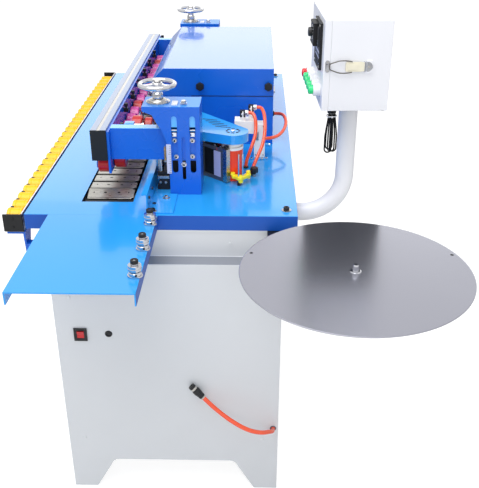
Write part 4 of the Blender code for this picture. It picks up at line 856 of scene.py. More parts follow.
def press_wheels():
    """The two wheels that turn, each on its own body."""
    for index in (1, 2):
        lo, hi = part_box(f"press_wheel_{index}")
        x0, radius = lo.x, (hi.y - lo.y) / 2
        centre = (0, *middle(f"press_wheel_{index}").yz)
        tyres, hubs = Build(), Build()
        tyres.lathe([(0.0075, x0 + 0.0004), (radius * 0.9, x0 + 0.0004), (radius, x0 + 0.0026),
                     (radius, x0 + 0.0274), (radius * 0.9, x0 + 0.0296), (0.0075, x0 + 0.0296)],
                    centre, "X", 48)
        for x in (x0 + 0.0075, x0 + 0.015, x0 + 0.0225):
            tyres.lathe([(radius - 0.0004, x - 0.0005), (radius + 0.0002, x - 0.0003),
                         (radius + 0.0002, x + 0.0003), (radius - 0.0004, x + 0.0005)], centre, "X",
                        48)
        hubs.lathe([(0.0074, x0 + 0.029), (0.0074, x0 + 0.03), (0.0125, x0 + 0.03),
                    (0.013, x0 + 0.0292)], centre, "X", 28)
        tyres.done(f"press_tyre_{index}", f"press_wheel_{index}", [RED_TYRE], "red_rubber",
                   replaces=[f"press_wheel_{index}"])
        hubs.done(f"press_hub_{index}", f"press_wheel_{index}", [CHROME], "chrome")


def wheel_row():
    """The wheels along the beam, which ride on it without turning."""
    reds, pinks, hubs, knobs = Build(), Build(), Build(), Build()
    for n in range(16):
        y = FIRST_WHEEL_Y + WHEEL_PITCH * n
        if not 0.7 < y < 0.84:
            one_wheel(reds if n % 4 == 0 else pinks, hubs, -0.2905, 0.026, y, 0.95, 0.0305)
            one_wheel(reds, hubs, -0.33, 0.026, y + 0.03, 0.9205, 0.021, side=-1)
            knobs.lathe([(0.0045, -0.2935), (0.0045, -0.2625), (0.0072, -0.262), (0.0072, -0.259),
                         (0.006, -0.258), (0, -0.258)], (0, y, 0.95), "X", 18, 1)
        if n % 2 == 1 and not 0.66 < y < 0.8:
            knobs.block(-0.2936, -0.2806, y + 0.028, y + 0.038, 0.996, 1.008, 0, 0.0015)
            knobs.knob((-0.2865, y + 0.033, 1.0082), "Z", 0.0058, 0.013, 0, 1, 6)
    reds.done("row_tyres_red", "beam", [RED_TYRE], "red_rubber")
    pinks.done("row_tyres_magenta", "beam", [PINK_TYRE], "red_rubber")
    hubs.done("row_hubs", "beam", [CHROME], "chrome")
    knobs.done("row_adjusters", "beam", [BLACK, CHROME], "black_plastic")


def arm_details():
    b = Build()
    # Painted highlight: pale blue strips along the top of each arm.
    for tag in ("front", "rear"):
        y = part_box(f"beam_arm_{tag}")[0].y + 0.0225
        b.block(-0.2936, -0.148, y - 0.0002, y + 0.03, 1.0202, 1.0216, 0, 0.0005)
    b.done("arm_ledge_highlights", "beam", [BLUE_LIT], "blue_paint")
    tyres, hubs = Build(), Build()
    one_wheel(tyres, hubs, -0.25, 0.026, -0.19, 0.988, 0.033)
    one_wheel(tyres, hubs, -0.22, 0.02, -0.17, 0.982, 0.028)
    tyres.done("side_tyre", "beam", [RED_TYRE], "red_rubber")
    hubs.done("side_hub", "beam", [CHROME], "chrome")
    b = Build()
    b.block(-0.2936, -0.252, -0.232, -0.188, 0.98, 0.99, 1, 0.002)
    b.block(-0.264, -0.238, -0.256, -0.23, 1.0, 1.02, 1, 0.003)
    b.knob((-0.264, -0.243, 1.01), "X", 0.0095, 0.012, 0, -1, 6)
    b.lathe([(0.0045, -0.238), (0.0045, -0.218), (0.007, -0.2178), (0.007, -0.213), (0, -0.213)],
            (0, -0.244, 1.012), "X", 16, 2)
    b.disc(0.006, -0.22, -0.194, (0, -0.19, 0.988), "X", 16, 2)
    b.done("arm_adjuster", "beam", [BLACK, BLUE, CHROME], "black_plastic")


# ---------------------------------------------------------------- columns and handwheels
def slide_fittings(tag, y):
    """Screws, nuts and shims that slide on the column's face with the beam."""
    b = Build()
    for x, z in ((-0.1247, 0.9986), (-0.122, 0.955), (-0.0795, 0.9986), (-0.0801, 0.956)):
        b.lathe([(0, -0.0012), (0.0062, -0.0012), (0.0062, -0.0003), (0, -0.0003)], (x, y, z), "Y",
                20)
        b.screw((x, y - 0.0012, z), "Y", 0.005, 0.003, 0, -1)
        b.disc(0.0023, 0, 0.0006, (x, y - 0.0043, z), "Y", 10, 1)
        b.disc(0.004, 0, 0.005, (x, y, z), "Y", 12)
    b.screw((-0.1027, y - 0.0012, 0.934), "Y", 0.006, 0.0036, 0, -1)
    b.lathe([(0, -0.0012), (0.007, -0.0012), (0.007, -0.0003), (0, -0.0003)], (-0.1027, y, 0.934),
            "Y", 24)
    b.disc(0.0026, 0, 0.0006, (-0.1027, y - 0.0049, 0.934), "Y", 10, 1)
    for x in COLUMN_SLOTS:
        b.block(x - 0.0052, x + 0.0052, y + 0.0006, y + 0.004, 1.0085, 1.018, 2, 0.0006)
        b.block(x - 0.0052, x - 0.003, y + 0.0003, y + 0.001, 1.011, 1.015, 1, 0.0002)
        b.block(x - 0.0064, x + 0.0064, y + 0.0006, y + 0.004, 1.024, 1.0262, 2, 0.0004)
    b.block(-0.1335, -0.0685, y + 0.0046, y + 0.048, 1.0202, 1.0212, 3, 0.0003)
    b.done(f"slide_fittings_{tag}", "beam", [CHROME, DEEP_BLACK, WHITE, BLUE], "chrome")


def column_set(tag):
    corner, (_, _, top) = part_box(f"column_{tag}")
    y = corner.y
    slide_fittings(tag, y)
    b = Build()
    b.block(-0.147, -0.135, y - 0.0022, y - 0.0002, 0.909, 0.988, 0, 0.0004)
    for k in range(15):
        z = 0.912 + 0.005 * k
        length = 0.007 if k % 5 == 0 else 0.004
        b.block(-0.1355 - length, -0.1355, y - 0.0024, y - 0.0021, z, z + 0.0007, 1, 0)
    b.done(f"rule_{tag}", "machine", [RULE, DEEP_BLACK], "aluminium")
    b = Build()
    # Painted light: pale blue plates at the tops of the column slots.
    for x in COLUMN_SLOTS:
        b.block(x - 0.008, x + 0.008, y + 0.0044, y + 0.0056, 1.032, 1.064, 0, 0.0003)
    # Painted shade: a black sheet inside the column.
    b.block(-0.1365, -0.064, y + 0.034, y + 0.035, 0.856, 1.06, 1, 0.0003)
    b.done(f"column_light_and_shade_{tag}", "machine", [BLUE_LIT, DEEP_BLACK], "blue_paint")
    b = Build()
    x, _, _ = middle(f"spindle_{tag}")
    yc = y + 0.047
    b.lathe([(0.0142, top), (0.0305, top), (0.0305, top + 0.0026), (0.0285, top + 0.0036),
             (0.0235, top + 0.004), (0.0215, top + 0.007), (0.019, top + 0.0088),
             (0.016, top + 0.0092), (0.015, top + 0.008), (0.0142, top + 0.008)], (x, yc, 0),
            sides=44)
    for dx, dy in ((0.024, -0.01), (-0.024, -0.01), (0.0, 0.0262)):
        b.screw((x + dx * 0.96, yc + dy, top + 0.003), "Z", 0.0042, 0.0042, 1)
    b.block(-0.131, -0.116, y + 0.012, y + 0.042, top, top + 0.005, 2, 0.0012)
    b.block(-0.2048, -0.0601, y + 0.0002, y + 0.0918, top - 0.0001, top + 0.0006, 3, 0.0002)
    nut = (-0.101, y + 0.024, top)
    b.disc(0.0085, 0.003, 0.0044, nut, sides=26, index=1)
    b.lathe([(0.0068, 0.0044), (0.0068, 0.01), (0.006, 0.011), (0, 0.011)], nut, sides=6, index=1)
    b.done(f"bearing_{tag}", "machine", [STEEL, CHROME, WHITE, BLUE_TOP], "steel")


def handwheel(tag):
    x, y, _ = middle(f"handwheel_{tag}")
    centre = Vector((x, y, 0))
    b = Build()
    b.tube([(x + 0.0435 * math.cos(t), y + 0.0435 * math.sin(t), 1.13) for t in circle(64)], 0.0064,
           16, closed=True)
    b.lathe([(0.013, 1.0958), (0.0136, 1.0966), (0.0136, 1.1066), (0.0126, 1.1086), (0.0104, 1.111),
             (0.0104, 1.125), (0.013, 1.127), (0.0134, 1.134), (0.012, 1.1358), (0.0074, 1.136)],
            centre, sides=36)
    spoke = ((0.009, 0.0085, 1.127, 1.134), (0.02, 0.0062, 1.1262, 1.1322),
             (0.031, 0.0062, 1.1268, 1.133), (0.042, 0.0085, 1.127, 1.1338))
    for turn in (math.radians(90 + 120 * k) for k in range(3)):
        along = Vector((math.cos(turn), math.sin(turn), 0))
        across = Vector((-along.y, along.x, 0))
        verts = [centre + along * r + across * (half * side) + Vector((0, 0, z))
                 for r, half, low, high in spoke
                 for side, z in ((-1, low), (1, low), (1, high), (-1, high))]
        faces = [(0, 1, 2, 3), (15, 14, 13, 12)]
        for ring in (0, 4, 8):
            for i in range(4):
                a, c = ring + i, ring + (i + 1) % 4
                faces.append((a, c, c + 4, a + 4))
        b.solid(verts, faces, 0, 0.0016)
    b.done(f"handwheel_casting_{tag}", f"handwheel_{tag}", [CHROME], "chrome",
           replaces=[f"handwheel_{tag}"])
    nut = Build()
    nut.lathe([(0.0086, 1.1361), (0.0092, 1.1366), (0.0092, 1.1404), (0.008, 1.1416),
               (0.0042, 1.1416), (0.0036, 1.143), (0, 1.143)], centre, sides=6)
    nut.done(f"handwheel_nut_{tag}", f"handwheel_{tag}", [STEEL], "steel")


# ---------------------------------------------------------------- hood
def hood_details():
    b = Build()
    low, high = 0.9987, 1.0796
    front = [(-0.2316, low), (0.1331, low), (0.1331, high), (-0.1962, high), (-0.2316, 1.0442)]
    # The skirt takes the darker painted-shade blue.
    b.prism(front, "Y", 0.0872, 0.0881, 0, 0.0003)
    b.prism(front, "Y", 0.7229, 0.7238, 0, 0.0003)
    b.block(0.1333, 0.1341, 0.0884, 0.7226, low, high, 0, 0.0003)
    b.block(-0.2328, -0.2319, 0.0884, 0.7226, low, 1.044, 0, 0.0003)
    b.done("lid_skirt", "hood_lid", [BLUE_SHADED], "blue_paint")
    b = Build()
    for x in (-0.087, 0.118):
        b.lathe([(0.0085, 0.0878), (0.0085, 0.085), (0.007, 0.0848)], (x, 0, 1.029), "Y", 24, 1)
        b.knob((x, 0.0852, 1.029), "Y", 0.0128, 0.015, 0, -1, 6)
    b.done("lid_knobs", "hood_lid", [BLACK, CHROME], "black_plastic")
    b = Build()
    # Painted shade: black sheets inside the hood and a black strip under the lid's front edge.
    b.block(-0.2215, -0.124, 0.104, 0.106, 0.927, 0.984, 0, 0.0003)
    b.block(-0.222, -0.1235, 0.0902, 0.105, 0.9842, 0.9856, 0, 0.0003)
    b.block(-0.115, 0.1325, 0.0874, 0.0882, 0.9962, 0.998, 0, 0.0002)
    b.done("hood_inner_shade", "machine", [DEEP_BLACK], "dark_casting")
    b = Build()
    for y in (0.16, 0.66):
        b.tube([(0.1352, y - 0.03, 0.9982), (0.1352, y + 0.03, 0.9982)], 0.004, 14)
    b.done("lid_hinge_knuckles", "machine", [STEEL], "steel")
    b = Build()
    for x in (-0.15, -0.04, 0.08):
        b.screw((x, 0.0815, 0.8524), "Z", 0.0045, 0.003, 0, socket=False)
    b.done("hood_foot_screws", "machine", [STEEL], "steel")


# ---------------------------------------------------------------- glue unit
GLUE_MOTOR = (0.018, -0.202, 0)
POT_PLACE = Matrix.Translation((-0.069, -0.178, 0)) @ Matrix.Rotation(math.radians(-42.7), 4, "Z")


def glue_unit():
    b = Build()
    b.block(0.0515, 0.077, -0.0016, -0.0002, 0.862, 0.934, 1, 0.0004, POT_PLACE)
    b.block(0.087, 0.1012, -0.003, 0.012, 0.852, 0.9462, 2, 0.0012, POT_PLACE)
    b.block(-0.001, 0.1, -0.0014, 0.0004, 0.937, 0.9456, 0, 0.0006, POT_PLACE)
    b.block(0.01, 0.058, 0.0046, 0.0058, 0.86, 0.934, 3, 0.0003, POT_PLACE)
    for u, v in ((0.008, 0.006), (0.05, 0.0055), (0.072, 0.0055)):
        point = POT_PLACE @ Vector((u, v, 0.9452))
        b.screw(tuple(point), "Z", 0.0036, 0.003, 4)
    point = POT_PLACE @ Vector((0.094, 0.0048, 0.9464))
    b.knob(tuple(point), "Z", 0.0075, 0.008, 5, 1, 6)
    point = POT_PLACE @ Vector((0.025, 0.028, 0.9452))
    b.lathe([(0.015, 0), (0.015, 0.003), (0.012, 0.0042), (0.006, 0.0046), (0.006, 0.009),
             (0, 0.0092)], tuple(point), sides=30)
    b.done("pot_fittings", "machine", [CASTING, LABEL, STEEL, DEEP_BLACK, CHROME, BLACK],
           "dark_casting")
    b = Build()
    b.lathe([(0.0293, 0.937), (0.0302, 0.9376), (0.0302, 0.945), (0.029, 0.9458), (0.0262, 0.9462),
             (0.0262, 0.9535), (0.024, 0.9538)], GLUE_MOTOR, sides=44, index=1)
    b.lathe([(0.0293, 0.8506), (0.0306, 0.851), (0.0306, 0.856), (0.0293, 0.8566)], GLUE_MOTOR,
            sides=44)
    b.block(-0.024, 0.015, -0.223, -0.19, 0.9362, 0.945, 0, 0.002)
    b.done("motor_rings", "machine", [ORANGE, CREAM], "chrome")
    b = Build()
    for x, y in ((0.0365, -0.26), (0.047, -0.256)):
        b.lathe([(0.0021, PLATE_TOP + 0.0004), (0.0021, 0.9385), (0.0014, 0.9395), (0, 0.9395)],
                (x, y, 0), sides=14)
    b.disc(0.0034, PLATE_TOP + 0.0004, 0.862, (0.0365, -0.26, 0), sides=14, index=1)
    b.done("guide_rods", "machine", [CHROME, DEEP_BLACK], "chrome")
    b = Build()
    outline = [(0.018, -0.252), (0.027, -0.256), (0.034, -0.266), (0.044, -0.268), (0.05, -0.26),
               (0.06, -0.248), (0.07, -0.233), (0.066, -0.224), (0.056, -0.228), (0.05, -0.24),
               (0.04, -0.246), (0.03, -0.24), (0.023, -0.234), (0.016, -0.237)]
    b.prism(outline, "Z", 0.866, 0.875, 0, 0.0022)
    for x, y, radius, low, high in ((0.0418, -0.2585, 0.0068, 0.859, 0.8785),
                                    (0.062, -0.232, 0.0058, 0.861, 0.8825)):
        b.lathe([(radius, low), (radius, high - 0.0015), (radius - 0.0012, high), (0, high)],
                (x, y, 0), sides=24)
    b.block(0.0145, 0.026, -0.25, -0.234, 0.874, 0.88, 0, 0.0018)
    b.done("yellow_clamp", "machine", [YELLOW_CLAMP], "yellow_plastic")
    b = Build()
    b.disc(0.005, PLATE_TOP + 0.0004, 0.859, (0.078, -0.19, 0), sides=18, index=1)
    b.knob((0.078, -0.19, 0.856), "Z", 0.0118, 0.02, 0, 1, 8)
    b.done("flow_knob", "machine", [BLACK, STEEL], "black_plastic")
    b = Build()
    for z in (0.864, 0.929):
        b.lathe([(0.0202, z), (0.0206, z + 0.0004), (0.0206, z + 0.002), (0.0202, z + 0.0024)],
                (-0.155, -0.172, 0), sides=48)
    b.done("roller_lands", "glue_roller", [STEEL], "steel")
    b = Build()
    b.block(-0.156, -0.15, -0.29, -0.24, 0.8892, 0.93, 0, 0.0012)
    b.block(-0.177, -0.15, -0.288, -0.242, 0.8892, 0.899, 0, 0.0012)
    b.block(-0.1768, -0.146, -0.2926, -0.2905, 0.881, 0.889, 1, 0.0006)
    for x, z in ((-0.17, 0.871), (-0.156, 0.871)):
        b.screw((x, -0.2921, z), "Y", 0.0036, 0.002, 1, -1)
    coil = [(-0.1535 + 0.004 * math.cos(k * 0.7), -0.295 + 0.004 * math.sin(k * 0.7),
             0.936 + 0.00042 * k) for k in range(82)]
    b.tube(coil, 0.0009, 6, 2)
    b.disc(0.0024, 0.9302, 0.974, (-0.1535, -0.295, 0), sides=12, index=2)
    b.disc(0.0048, 0.9302, 0.935, (-0.1535, -0.295, 0), sides=6, index=1)
    b.block(-0.158, -0.149, -0.299, -0.288, 0.926, 0.9304, 0, 0.0006)
    b.done("tape_cutter", "machine", [BLACK, STEEL, BRASS], "black_plastic")


def cover_details():
    b = Build()
    x, y = 0.02, -0.204  # the motor's boss
    b.lathe([(0.006, 0.985), (0.006, 0.9866), (0.005, 0.9874), (0, 0.9874)], (x, y, 0), sides=24)
    b.done("cover_screws", "machine", [CHROME], "chrome")
    b = Build()
    # Painted shade: black bars a hair proud of the cover stand for its vent slots and the shade in
    # them.
    for k in range(5):
        across = Matrix.Rotation(math.radians(-14), 4, "Z")
        place = Matrix.Translation((-0.048 + 0.01 * k, -0.105 - 0.0165 * k, 0)) @ across
        b.block(-0.0218, 0.0218, -0.002, 0.002, 0.984, 0.9853, 0, 0.0, place)
    for turn in circle(8):
        place = Matrix.Translation((x, y, 0)) @ Matrix.Rotation(turn, 4, "Z")
        b.block(0.0142, 0.0198, -0.0043, 0.0043, 0.984, 0.9853, 0, 0.0, place)
    b.done("cover_vent_shade", "machine", [DEEP_BLACK], "dark_casting")
    b = Build()
    # Painted shade: black sheets under the cover round the motor's boss.
    b.disc(0.03, 0.958, 0.96, (x, y, 0), sides=32)
    b.block(-0.068, -0.01, -0.2, -0.09, 0.956, 0.959, 0, 0.001)
    b.done("cover_underside_shade", "machine", [DEEP_BLACK], "dark_casting")


# ---------------------------------------------------------------- pneumatics
def valve_set():
    b = Build()
    for x, y, z in ((0.044, -0.043, 0.986), (0.068, -0.022, 0.996)):
        b.block(x - 0.009, x + 0.0072, y - 0.0075, y + 0.0075, z - 0.012, z + 0.008, 0, 0.002)
        b.lathe([(0.0082, x + 0.006), (0.0086, x + 0.0066), (0.0086, x + 0.012),
                 (0.0078, x + 0.013), (0.0066, x + 0.0132), (0.006, x + 0.016),
                 (0.0052, x + 0.0162)], (0, y, z), "X", 26, 1)
        b.disc(0.0062, z - 0.018, z - 0.0118, (x, y, 0), sides=6, index=2)
        b.screw((x - 0.002, y - 0.0075, z - 0.002), "Y", 0.003, 0.0014, 3, -1)
    b.done("push_fittings", "machine", [BLACK, CHROME, BRASS, WHITE], "black_plastic")
    b = Build()
    b.block(0.0795, 0.1055, -0.0478, -0.0466, 0.868, 0.945, 0, 0.0005)
    b.block(0.081, 0.09, -0.0484, -0.0474, 0.905, 0.93, 1, 0.0003)
    for z in (0.86, 0.947):
        for x in (0.0815, 0.1035):
            b.screw((x, -0.0474, z), "Y", 0.0022, 0.0014, 1, -1)
    b.done("valve_face", "machine", [CREAM, STEEL], "cream_enamel")
    b = Build()
    for x, y in ((0.07, -0.058), (0.113, -0.056), (0.1, -0.062)):
        b.screw((x, y, PLATE_TOP + 0.0002), "Z", 0.0042, 0.0058, 0)
    b.block(0.064, 0.118, -0.064, -0.048, PLATE_TOP + 0.0002, PLATE_TOP + 0.0022, 1, 0.0004)
    b.tube([(0.109, -0.03, 0.886), (0.12, -0.03, 0.886)], 0.0065, 18, 1)
    b.tube([(0.12, -0.03, 0.886), (0.124, -0.03, 0.886)], 0.0048, 18, 0)
    b.done("valve_foot", "machine", [CHROME, BLUE], "chrome")


def inner_hoses():
    routes = {
        "hose_left": [(0.0595, -0.043, 0.986), (0.0655, -0.043, 0.986), (0.0715, -0.043, 0.986),
                      (0.079, -0.056, 0.975), (0.0815, -0.068, 0.955), (0.0793, -0.085, 0.93),
                      (0.068, -0.106, 0.9), (0.057, -0.12, 0.872), (0.054, -0.126, 0.8545)],
        "hose_right": [(0.0835, -0.022, 0.996), (0.0895, -0.022, 0.996), (0.0955, -0.022, 0.996),
                       (0.104, -0.046, 0.987), (0.1075, -0.072, 0.968), (0.107, -0.095, 0.944),
                       (0.101, -0.118, 0.918), (0.089, -0.146, 0.896), (0.076, -0.172, 0.872),
                       (0.072, -0.18, 0.8545)],
        "hose_loop": [(0.134, 0.15, 0.925), (0.14, 0.15, 0.925), (0.146, 0.15, 0.925),
                      (0.162, 0.134, 0.928), (0.171, 0.108, 0.926), (0.173, 0.07, 0.918),
                      (0.163, 0.025, 0.91), (0.145, -0.008, 0.905), (0.1215, -0.029, 0.905),
                      (0.115, -0.029, 0.905), (0.1085, -0.029, 0.905)]}
    for name, route in routes.items():
        curve_piece(name.replace("hose", "valve_hose"), through(route, 0.008), 0.005, HOSE,
                    "machine", [name])
    b = Build()
    for x, y in ((0.054, -0.1265), (0.072, -0.1805)):
        b.lathe([(0.0078, 0), (0.0078, 0.004), (0.0066, 0.0048), (0.0054, 0.005)],
                (x, y, PLATE_TOP + 0.0003), sides=24)
    b.lathe([(0.0078, 0.1335), (0.0078, 0.1375), (0.0066, 0.1388), (0.0052, 0.139)],
            (0, 0.15, 0.925), "X", 24, 0)
    b.done("hose_collars", "machine", [BLACK], "black_plastic")


# ---------------------------------------------------------------- tray and pipe
def tray():
    x, y, _ = middle("tray_disc")
    z = 0.85
    b = Build()
    b.lathe([(0.2488, z - 0.003), (0.2499, z - 0.0026), (0.25, z - 0.0015), (0.2499, z - 0.0004),
             (0.249, z), (0.2478, z), (0.011, z), (0.0062, z)], (x, y, 0), sides=128)
    for t in (math.radians(20), math.radians(160)):
        b.lathe([(0.004, z + 0.00005), (0, z + 0.0001)],
                (x + 0.238 * math.cos(t), y + 0.238 * math.sin(t), 0), sides=20, index=1)
    b.lathe([(0.0125, z), (0.0125, z + 0.001), (0.011, z + 0.0016), (0.0064, z + 0.0018)],
            (x, y, 0), sides=32, index=2)
    b.lathe([(0.0061, z), (0.0062, z + 0.012), (0.006, z + 0.015), (0.0046, z + 0.017),
             (0, z + 0.0172)], (x, y, 0), sides=28, index=2)
    b.disc(0.022, z - 0.0112, z - 0.0034, (x, y, 0), sides=32, index=2)
    b.disc(0.0058, z - 0.047, z - 0.011, (x, y, 0), index=2)
    b.done("tray_plate", "tray_disc", [SATIN, DEEP_BLACK, CHROME], "satin_steel",
           replaces=["tray_disc"])


def pipe():
    bend, low, end = 0.11, 0.78, 0.1128
    corner = PIPE_X - bend
    points = [(x, PIPE_Y, low) for x in (end, 0.16, corner)]
    for k in range(1, 25):
        turn = math.radians(-90 + 90 * k / 24)
        points.append((corner + bend * math.cos(turn), PIPE_Y, low + bend + bend * math.sin(turn)))
    points += [(PIPE_X, PIPE_Y, z) for z in (0.95, 1.02, 1.0897)]
    b = Build()
    b.tube(points, 0.024, 40)
    b.lathe([(0.0242, end), (0.0262, end + 0.0002), (0.0268, end + 0.0022), (0.025, end + 0.0052),
             (0.024, end + 0.0057)], (0, PIPE_Y, low), "X", 40)
    b.done("pipe_bend", "machine", [WHITE], "white_paint", replaces=["control_pipe"])
    b = Build()
    b.lathe([(0.0242, 1.083), (0.033, 1.0832), (0.034, 1.084), (0.034, 1.089), (0.0242, 1.0894)],
            (PIPE_X, PIPE_Y, 0), sides=40)
    for turn in arc(45, 360, 90):
        b.screw((PIPE_X + 0.0288 * math.cos(turn), PIPE_Y + 0.0288 * math.sin(turn), 1.0832), "Z",
                0.003, 0.002, 1, -1)
    b.done("pipe_flange", "machine", [WHITE, STEEL], "white_paint")


# ---------------------------------------------------------------- control box
def box_shell():
    x0, x1, y0, y1, z0, z1 = SHELL_X0, 0.3967, BOX_Y0, BOX_Y1, BOX_Z0, BOX_Z1
    b = Build(BOX_TURN)
    for y in (y0 - 0.0004, y1 - 0.0016):
        b.block(x0, x1, y, y + 0.002, z0, z1, 0, 0.0008)
    for z in (z0 - 0.0004, z1 - 0.0016):
        b.block(x0, x1, y0, y1, z, z + 0.002, 0, 0.0008)
    b.block(x1 - 0.0016, x1 + 0.0004, y0, y1, z0, z1, 0, 0.0008)
    b.done("box_sheets", "machine", [WHITE], "white_paint")
    b = Build(BOX_TURN)
    for y in (-0.3, -0.16):
        for z in (1.13, 1.265):
            b.screw((x1 + 0.0004, y, z), "X", 0.0045, 0.002, 0, 1, socket=False)
    b.done("box_screws", "machine", [STEEL], "steel")
    b = Build(BOX_TURN)
    # Painted shade: a black plate over the box's shaded underside, which the tray disc reflects.
    b.block(0.2567, 0.3937, -0.355, -0.103, 1.0884, 1.0894, 0, 0.0003)
    for x in (0.262, 0.388):
        for y in (-0.349, -0.109):
            b.screw((x, y, 1.0884), "Z", 0.0035, 0.0018, 1, -1)
    b.done("box_underside_shade", "machine", [DEEP_BLACK, STEEL], "black_plastic")
    b = Build(BOX_TURN)
    gland = (HANK.x, HANK.y, 0)
    b.lathe([(0.009, 1.0765), (0.0108, 1.077), (0.0112, 1.08), (0.0112, 1.083), (0.0098, 1.0838),
             (0.0098, 1.0846)], gland, sides=24)
    b.disc(0.013, 1.0846, 1.0896, gland, sides=6)
    b.done("cable_gland", "machine", [BLACK], "black_plastic")
    b = Build(BOX_TURN)
    for z in (1.125, 1.27):
        b.lathe([(0.004, z - 0.018), (0.0044, z - 0.0176), (0.0044, z + 0.0176),
                 (0.004, z + 0.018)], (0.2528, y1 + 0.003, 0), sides=18)
    b.done("door_hinges", "machine", [STEEL], "steel")


def button_y(number):
    return -0.312 + 0.042 * number


def door_details():
    x0, x1, y0, y1, z0, z1 = DOOR_X, 0.2525, BOX_Y0, BOX_Y1, BOX_Z0, BOX_Z1
    b = Build(BOX_TURN)
    b.block(x0 - 0.0004, x0 + 0.0012, y0, y1, z0, z1, 0, 0.0007)
    for y in (y0 - 0.0004, y1 - 0.0012):
        b.block(x0, x1, y, y + 0.0016, z0, z1, 0, 0.0006)
    for z in (z0 - 0.0004, z1 - 0.0012):
        b.block(x0, x1, y0, y1, z, z + 0.0016, 0, 0.0006)
    b.done("door_sheets", "box_door", [WHITE], "white_paint")
    b = Build(BOX_TURN)
    low = x0 - COLLAR_HEIGHT
    for k in range(5):
        b.lathe([(0.0119, low + 0.012), (0.0119, low - 0.0006), (0.0128, low - 0.0016),
                 (0.0148, low - 0.001), (0.0154, low + 0.0006), (0.0154, low + 0.007),
                 (0.0148, low + 0.0076), (0.0148, low + 0.0098), (0.0158, low + 0.0106),
                 (0.0158, low + 0.0156)], (0, button_y(k), BUTTON_Z), "X", 36)
    b.done("button_collars", "box_door", [WHITE], "white_paint")


def one_cap(name, number, mat, slot):
    y, low = button_y(number), DOOR_X - COLLAR_HEIGHT - 0.013
    b = Build(BOX_TURN)
    b.lathe([(0, low - 0.0012), (0.006, low - 0.0008), (0.0094, low + 0.0002),
             (0.0107, low + 0.0016), (0.011, low + 0.0034), (0.011, low + 0.0208)],
            (0, y, BUTTON_Z), "X", 36)
    for turn in circle(12):
        b.block(low + 0.0034, low + 0.007, -0.0006, 0.0006, 0.0106, 0.0113, 0, 0.0002,
                Matrix.Translation((0, y, BUTTON_Z)) @ Matrix.Rotation(turn, 4, "X"))
    b.done(name + "_cap", name, [mat], slot, replaces=[name])


def controller_face():
    b = Build(BOX_TURN)
    x = 0.2304
    b.rim("X", x - 0.001, x + 0.0004, (-0.3225, -0.2165), (1.1795, 1.2905), 0.004, 0, 0.0004)
    for y in (-0.314, -0.225):
        for z in (1.1865, 1.2838):
            b.screw((x, y, z), "X", 0.003, 0.0016, 1, -1)
    b.block(x + 0.0006, x + 0.0018, -0.311, -0.228, 1.191, 1.221, 4, 0.0003)
    for k in range(6):
        y = -0.307 + 0.0135 * k
        b.block(x - 0.0012, x + 0.0018, y, y + 0.009, 1.194, 1.203, 0, 0.0006)
        b.block(x - 0.0004, x + 0.0018, y + 0.001, y + 0.008, 1.208, 1.216, 2, 0.0005)
    b.block(x - 0.003, x + 0.0004, -0.314, -0.286, 1.233, 1.278, 0, 0.001)
    b.block(x - 0.0036, x - 0.0028, -0.311, -0.289, 1.25, 1.274, 0, 0.0003)
    for z in (1.238, 1.244):
        b.block(x - 0.004, x - 0.0028, -0.308, -0.292, z, z + 0.0034, 2, 0.0006)
    for z in (1.2306, 1.2786):
        b.block(0.2174, 0.2186, -0.2796, -0.2184, z, z + 0.0034, 0, 0.0003)
    for turn in arc(-60, 241, 30):
        b.block(0.2176, 0.2186, -0.0004, 0.0004, 0.0145, 0.0175, 3, 0,
                Matrix.Translation((0, KNOB_Y, KNOB_Z)) @ Matrix.Rotation(turn, 4, "X"))
    b.done("controller_trim", "box_door", [DEEP_BLACK, STEEL, CASTING, WHITE, LABEL],
           "black_plastic")


def controller_knob():
    x, flutes = 0.2181, 16
    outlines = []
    for scale, level in ((0.8, 0.0), (1.0, 0.0006), (1.0, 0.007), (0.9, 0.0092), (0.7, 0.01)):
        outline = []
        for turn in circle(48):
            r = 0.0113 * scale * (1 - 0.05 * (0.5 + 0.5 * math.cos(flutes * turn)))
            outline.append((x - level, KNOB_Y + r * math.cos(turn), KNOB_Z + r * math.sin(turn)))
        outlines.append(outline)
    b = Build(BOX_TURN)
    b.loft(outlines)
    b.block(x - 0.0104, x - 0.0096, KNOB_Y - 0.0005, KNOB_Y + 0.0005, 1.26, 1.268, 1, 0.0001)
    b.done("knob_grip", "controller_knob", [BLACK, WHITE], "black_plastic",
           replaces=["controller_knob"])


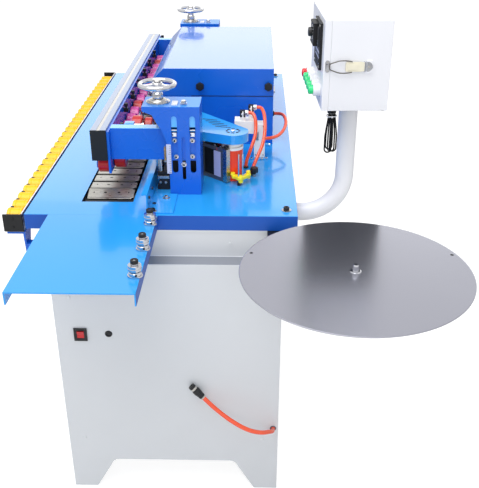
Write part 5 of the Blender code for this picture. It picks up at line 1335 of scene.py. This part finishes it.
def latch():
    y, z = -0.365, 1.1985
    b = Build(BOX_TURN)
    end = [(0.3412 + 0.0122 * math.cos(t), z + 0.0122 * math.sin(t)) for t in arc(-90, 91, 10)]
    b.prism([(0.3391, z - 0.0122)] + end + [(0.3391, z + 0.0122)], "Y", -0.3648, -0.3592, 0, 0.001)
    b.lathe([(0.002, 0), (0.003, 0.0002), (0.003, 0.002)], (0.344, -0.3652, z), "Y", 18, 1)
    b.done("latch_base", "machine", [CHROME, STEEL], "chrome")
    b = Build(BOX_TURN)
    b.prism([(0.2885, z - 0.0085), (0.2905, z - 0.0118), (0.325, z - 0.0118), (0.3355, z - 0.01),
             (0.3355, z + 0.01), (0.325, z + 0.0118), (0.2905, z + 0.0118), (0.2885, z + 0.0085)],
            "Y", y - 0.0001, y + 0.002, 0, 0.0008)
    b.block(0.294, 0.318, y - 0.0014, y - 0.0004, z - 0.007, z + 0.007, 0, 0.0008)
    b.lathe([(0.0025, z - 0.0122), (0.0029, z - 0.0118), (0.0029, z + 0.0118),
             (0.0025, z + 0.0122)], (0.3345, -0.3625, 0), sides=26, index=1)
    half = [(0.304, y - 0.001, 0.0124), (0.296, y - 0.0012, 0.014), (0.286, y - 0.0012, 0.0148),
            (0.274, y - 0.001, 0.0142), (0.264, y - 0.0004, 0.0112), (0.257, y + 0.0003, 0.0088),
            (0.2525, y + 0.0006, 0.0068), (0.2508, y + 0.0006, 0.0036)]
    wire = [(p, q, z + h) for p, q, h in half] + [(p, q, z - h) for p, q, h in reversed(half)]
    b.tube(through(wire, 0.002), 0.0014, 10, 2)
    b.done("latch_handle", "latch_lever", [IVORY, CHROME, WIRE], "steel", replaces=["latch_lever"])
    b = Build(BOX_TURN)
    lobes = [(0.2462 + 0.0058 * math.cos(t), z + lift + 0.007 * math.sin(t))
             for lift, first in ((0.0078, 0), (-0.0078, 180))
             for t in arc(first, first + 181, 15)]
    b.prism(lobes, "Y", -0.3612, -0.3594, 0, 0.0005)
    b.block(0.2478, 0.2496, -0.3655, -0.36, z - 0.007, z + 0.007, 0, 0.0006)
    b.block(0.243, 0.2496, -0.3655, -0.364, z - 0.006, z + 0.006, 0, 0.0005)
    for dz in (-0.01, 0.01):
        b.screw((0.2462, -0.3612, z + dz), "Y", 0.002, 0.001, 1, -1)
    b.done("latch_catch", "box_door", [CHROME, STEEL], "chrome")


# ---------------------------------------------------------------- make everything
plate_fittings()
apron_shade_skins()
cabinet_trim()
rocker_and_grommet()
infeed_fittings()
fence_fittings()
rail()
chain_loop()
beam_dressing()
press_wheels()
wheel_row()
arm_details()
for end in ("front", "rear"):
    column_set(end)
for end in ("front", "rear"):
    handwheel(end)
hood_details()
glue_unit()
cover_details()
valve_set()
inner_hoses()
tray()
pipe()
box_shell()
door_details()
for cap_number in range(4):
    one_cap(f"button_green_{cap_number + 1}", cap_number, GREEN, "green_cap")
one_cap("button_red", 4, RED, "red_cap")
controller_face()
controller_knob()
latch()

bpy.context.scene.view_settings.view_transform = "Standard"
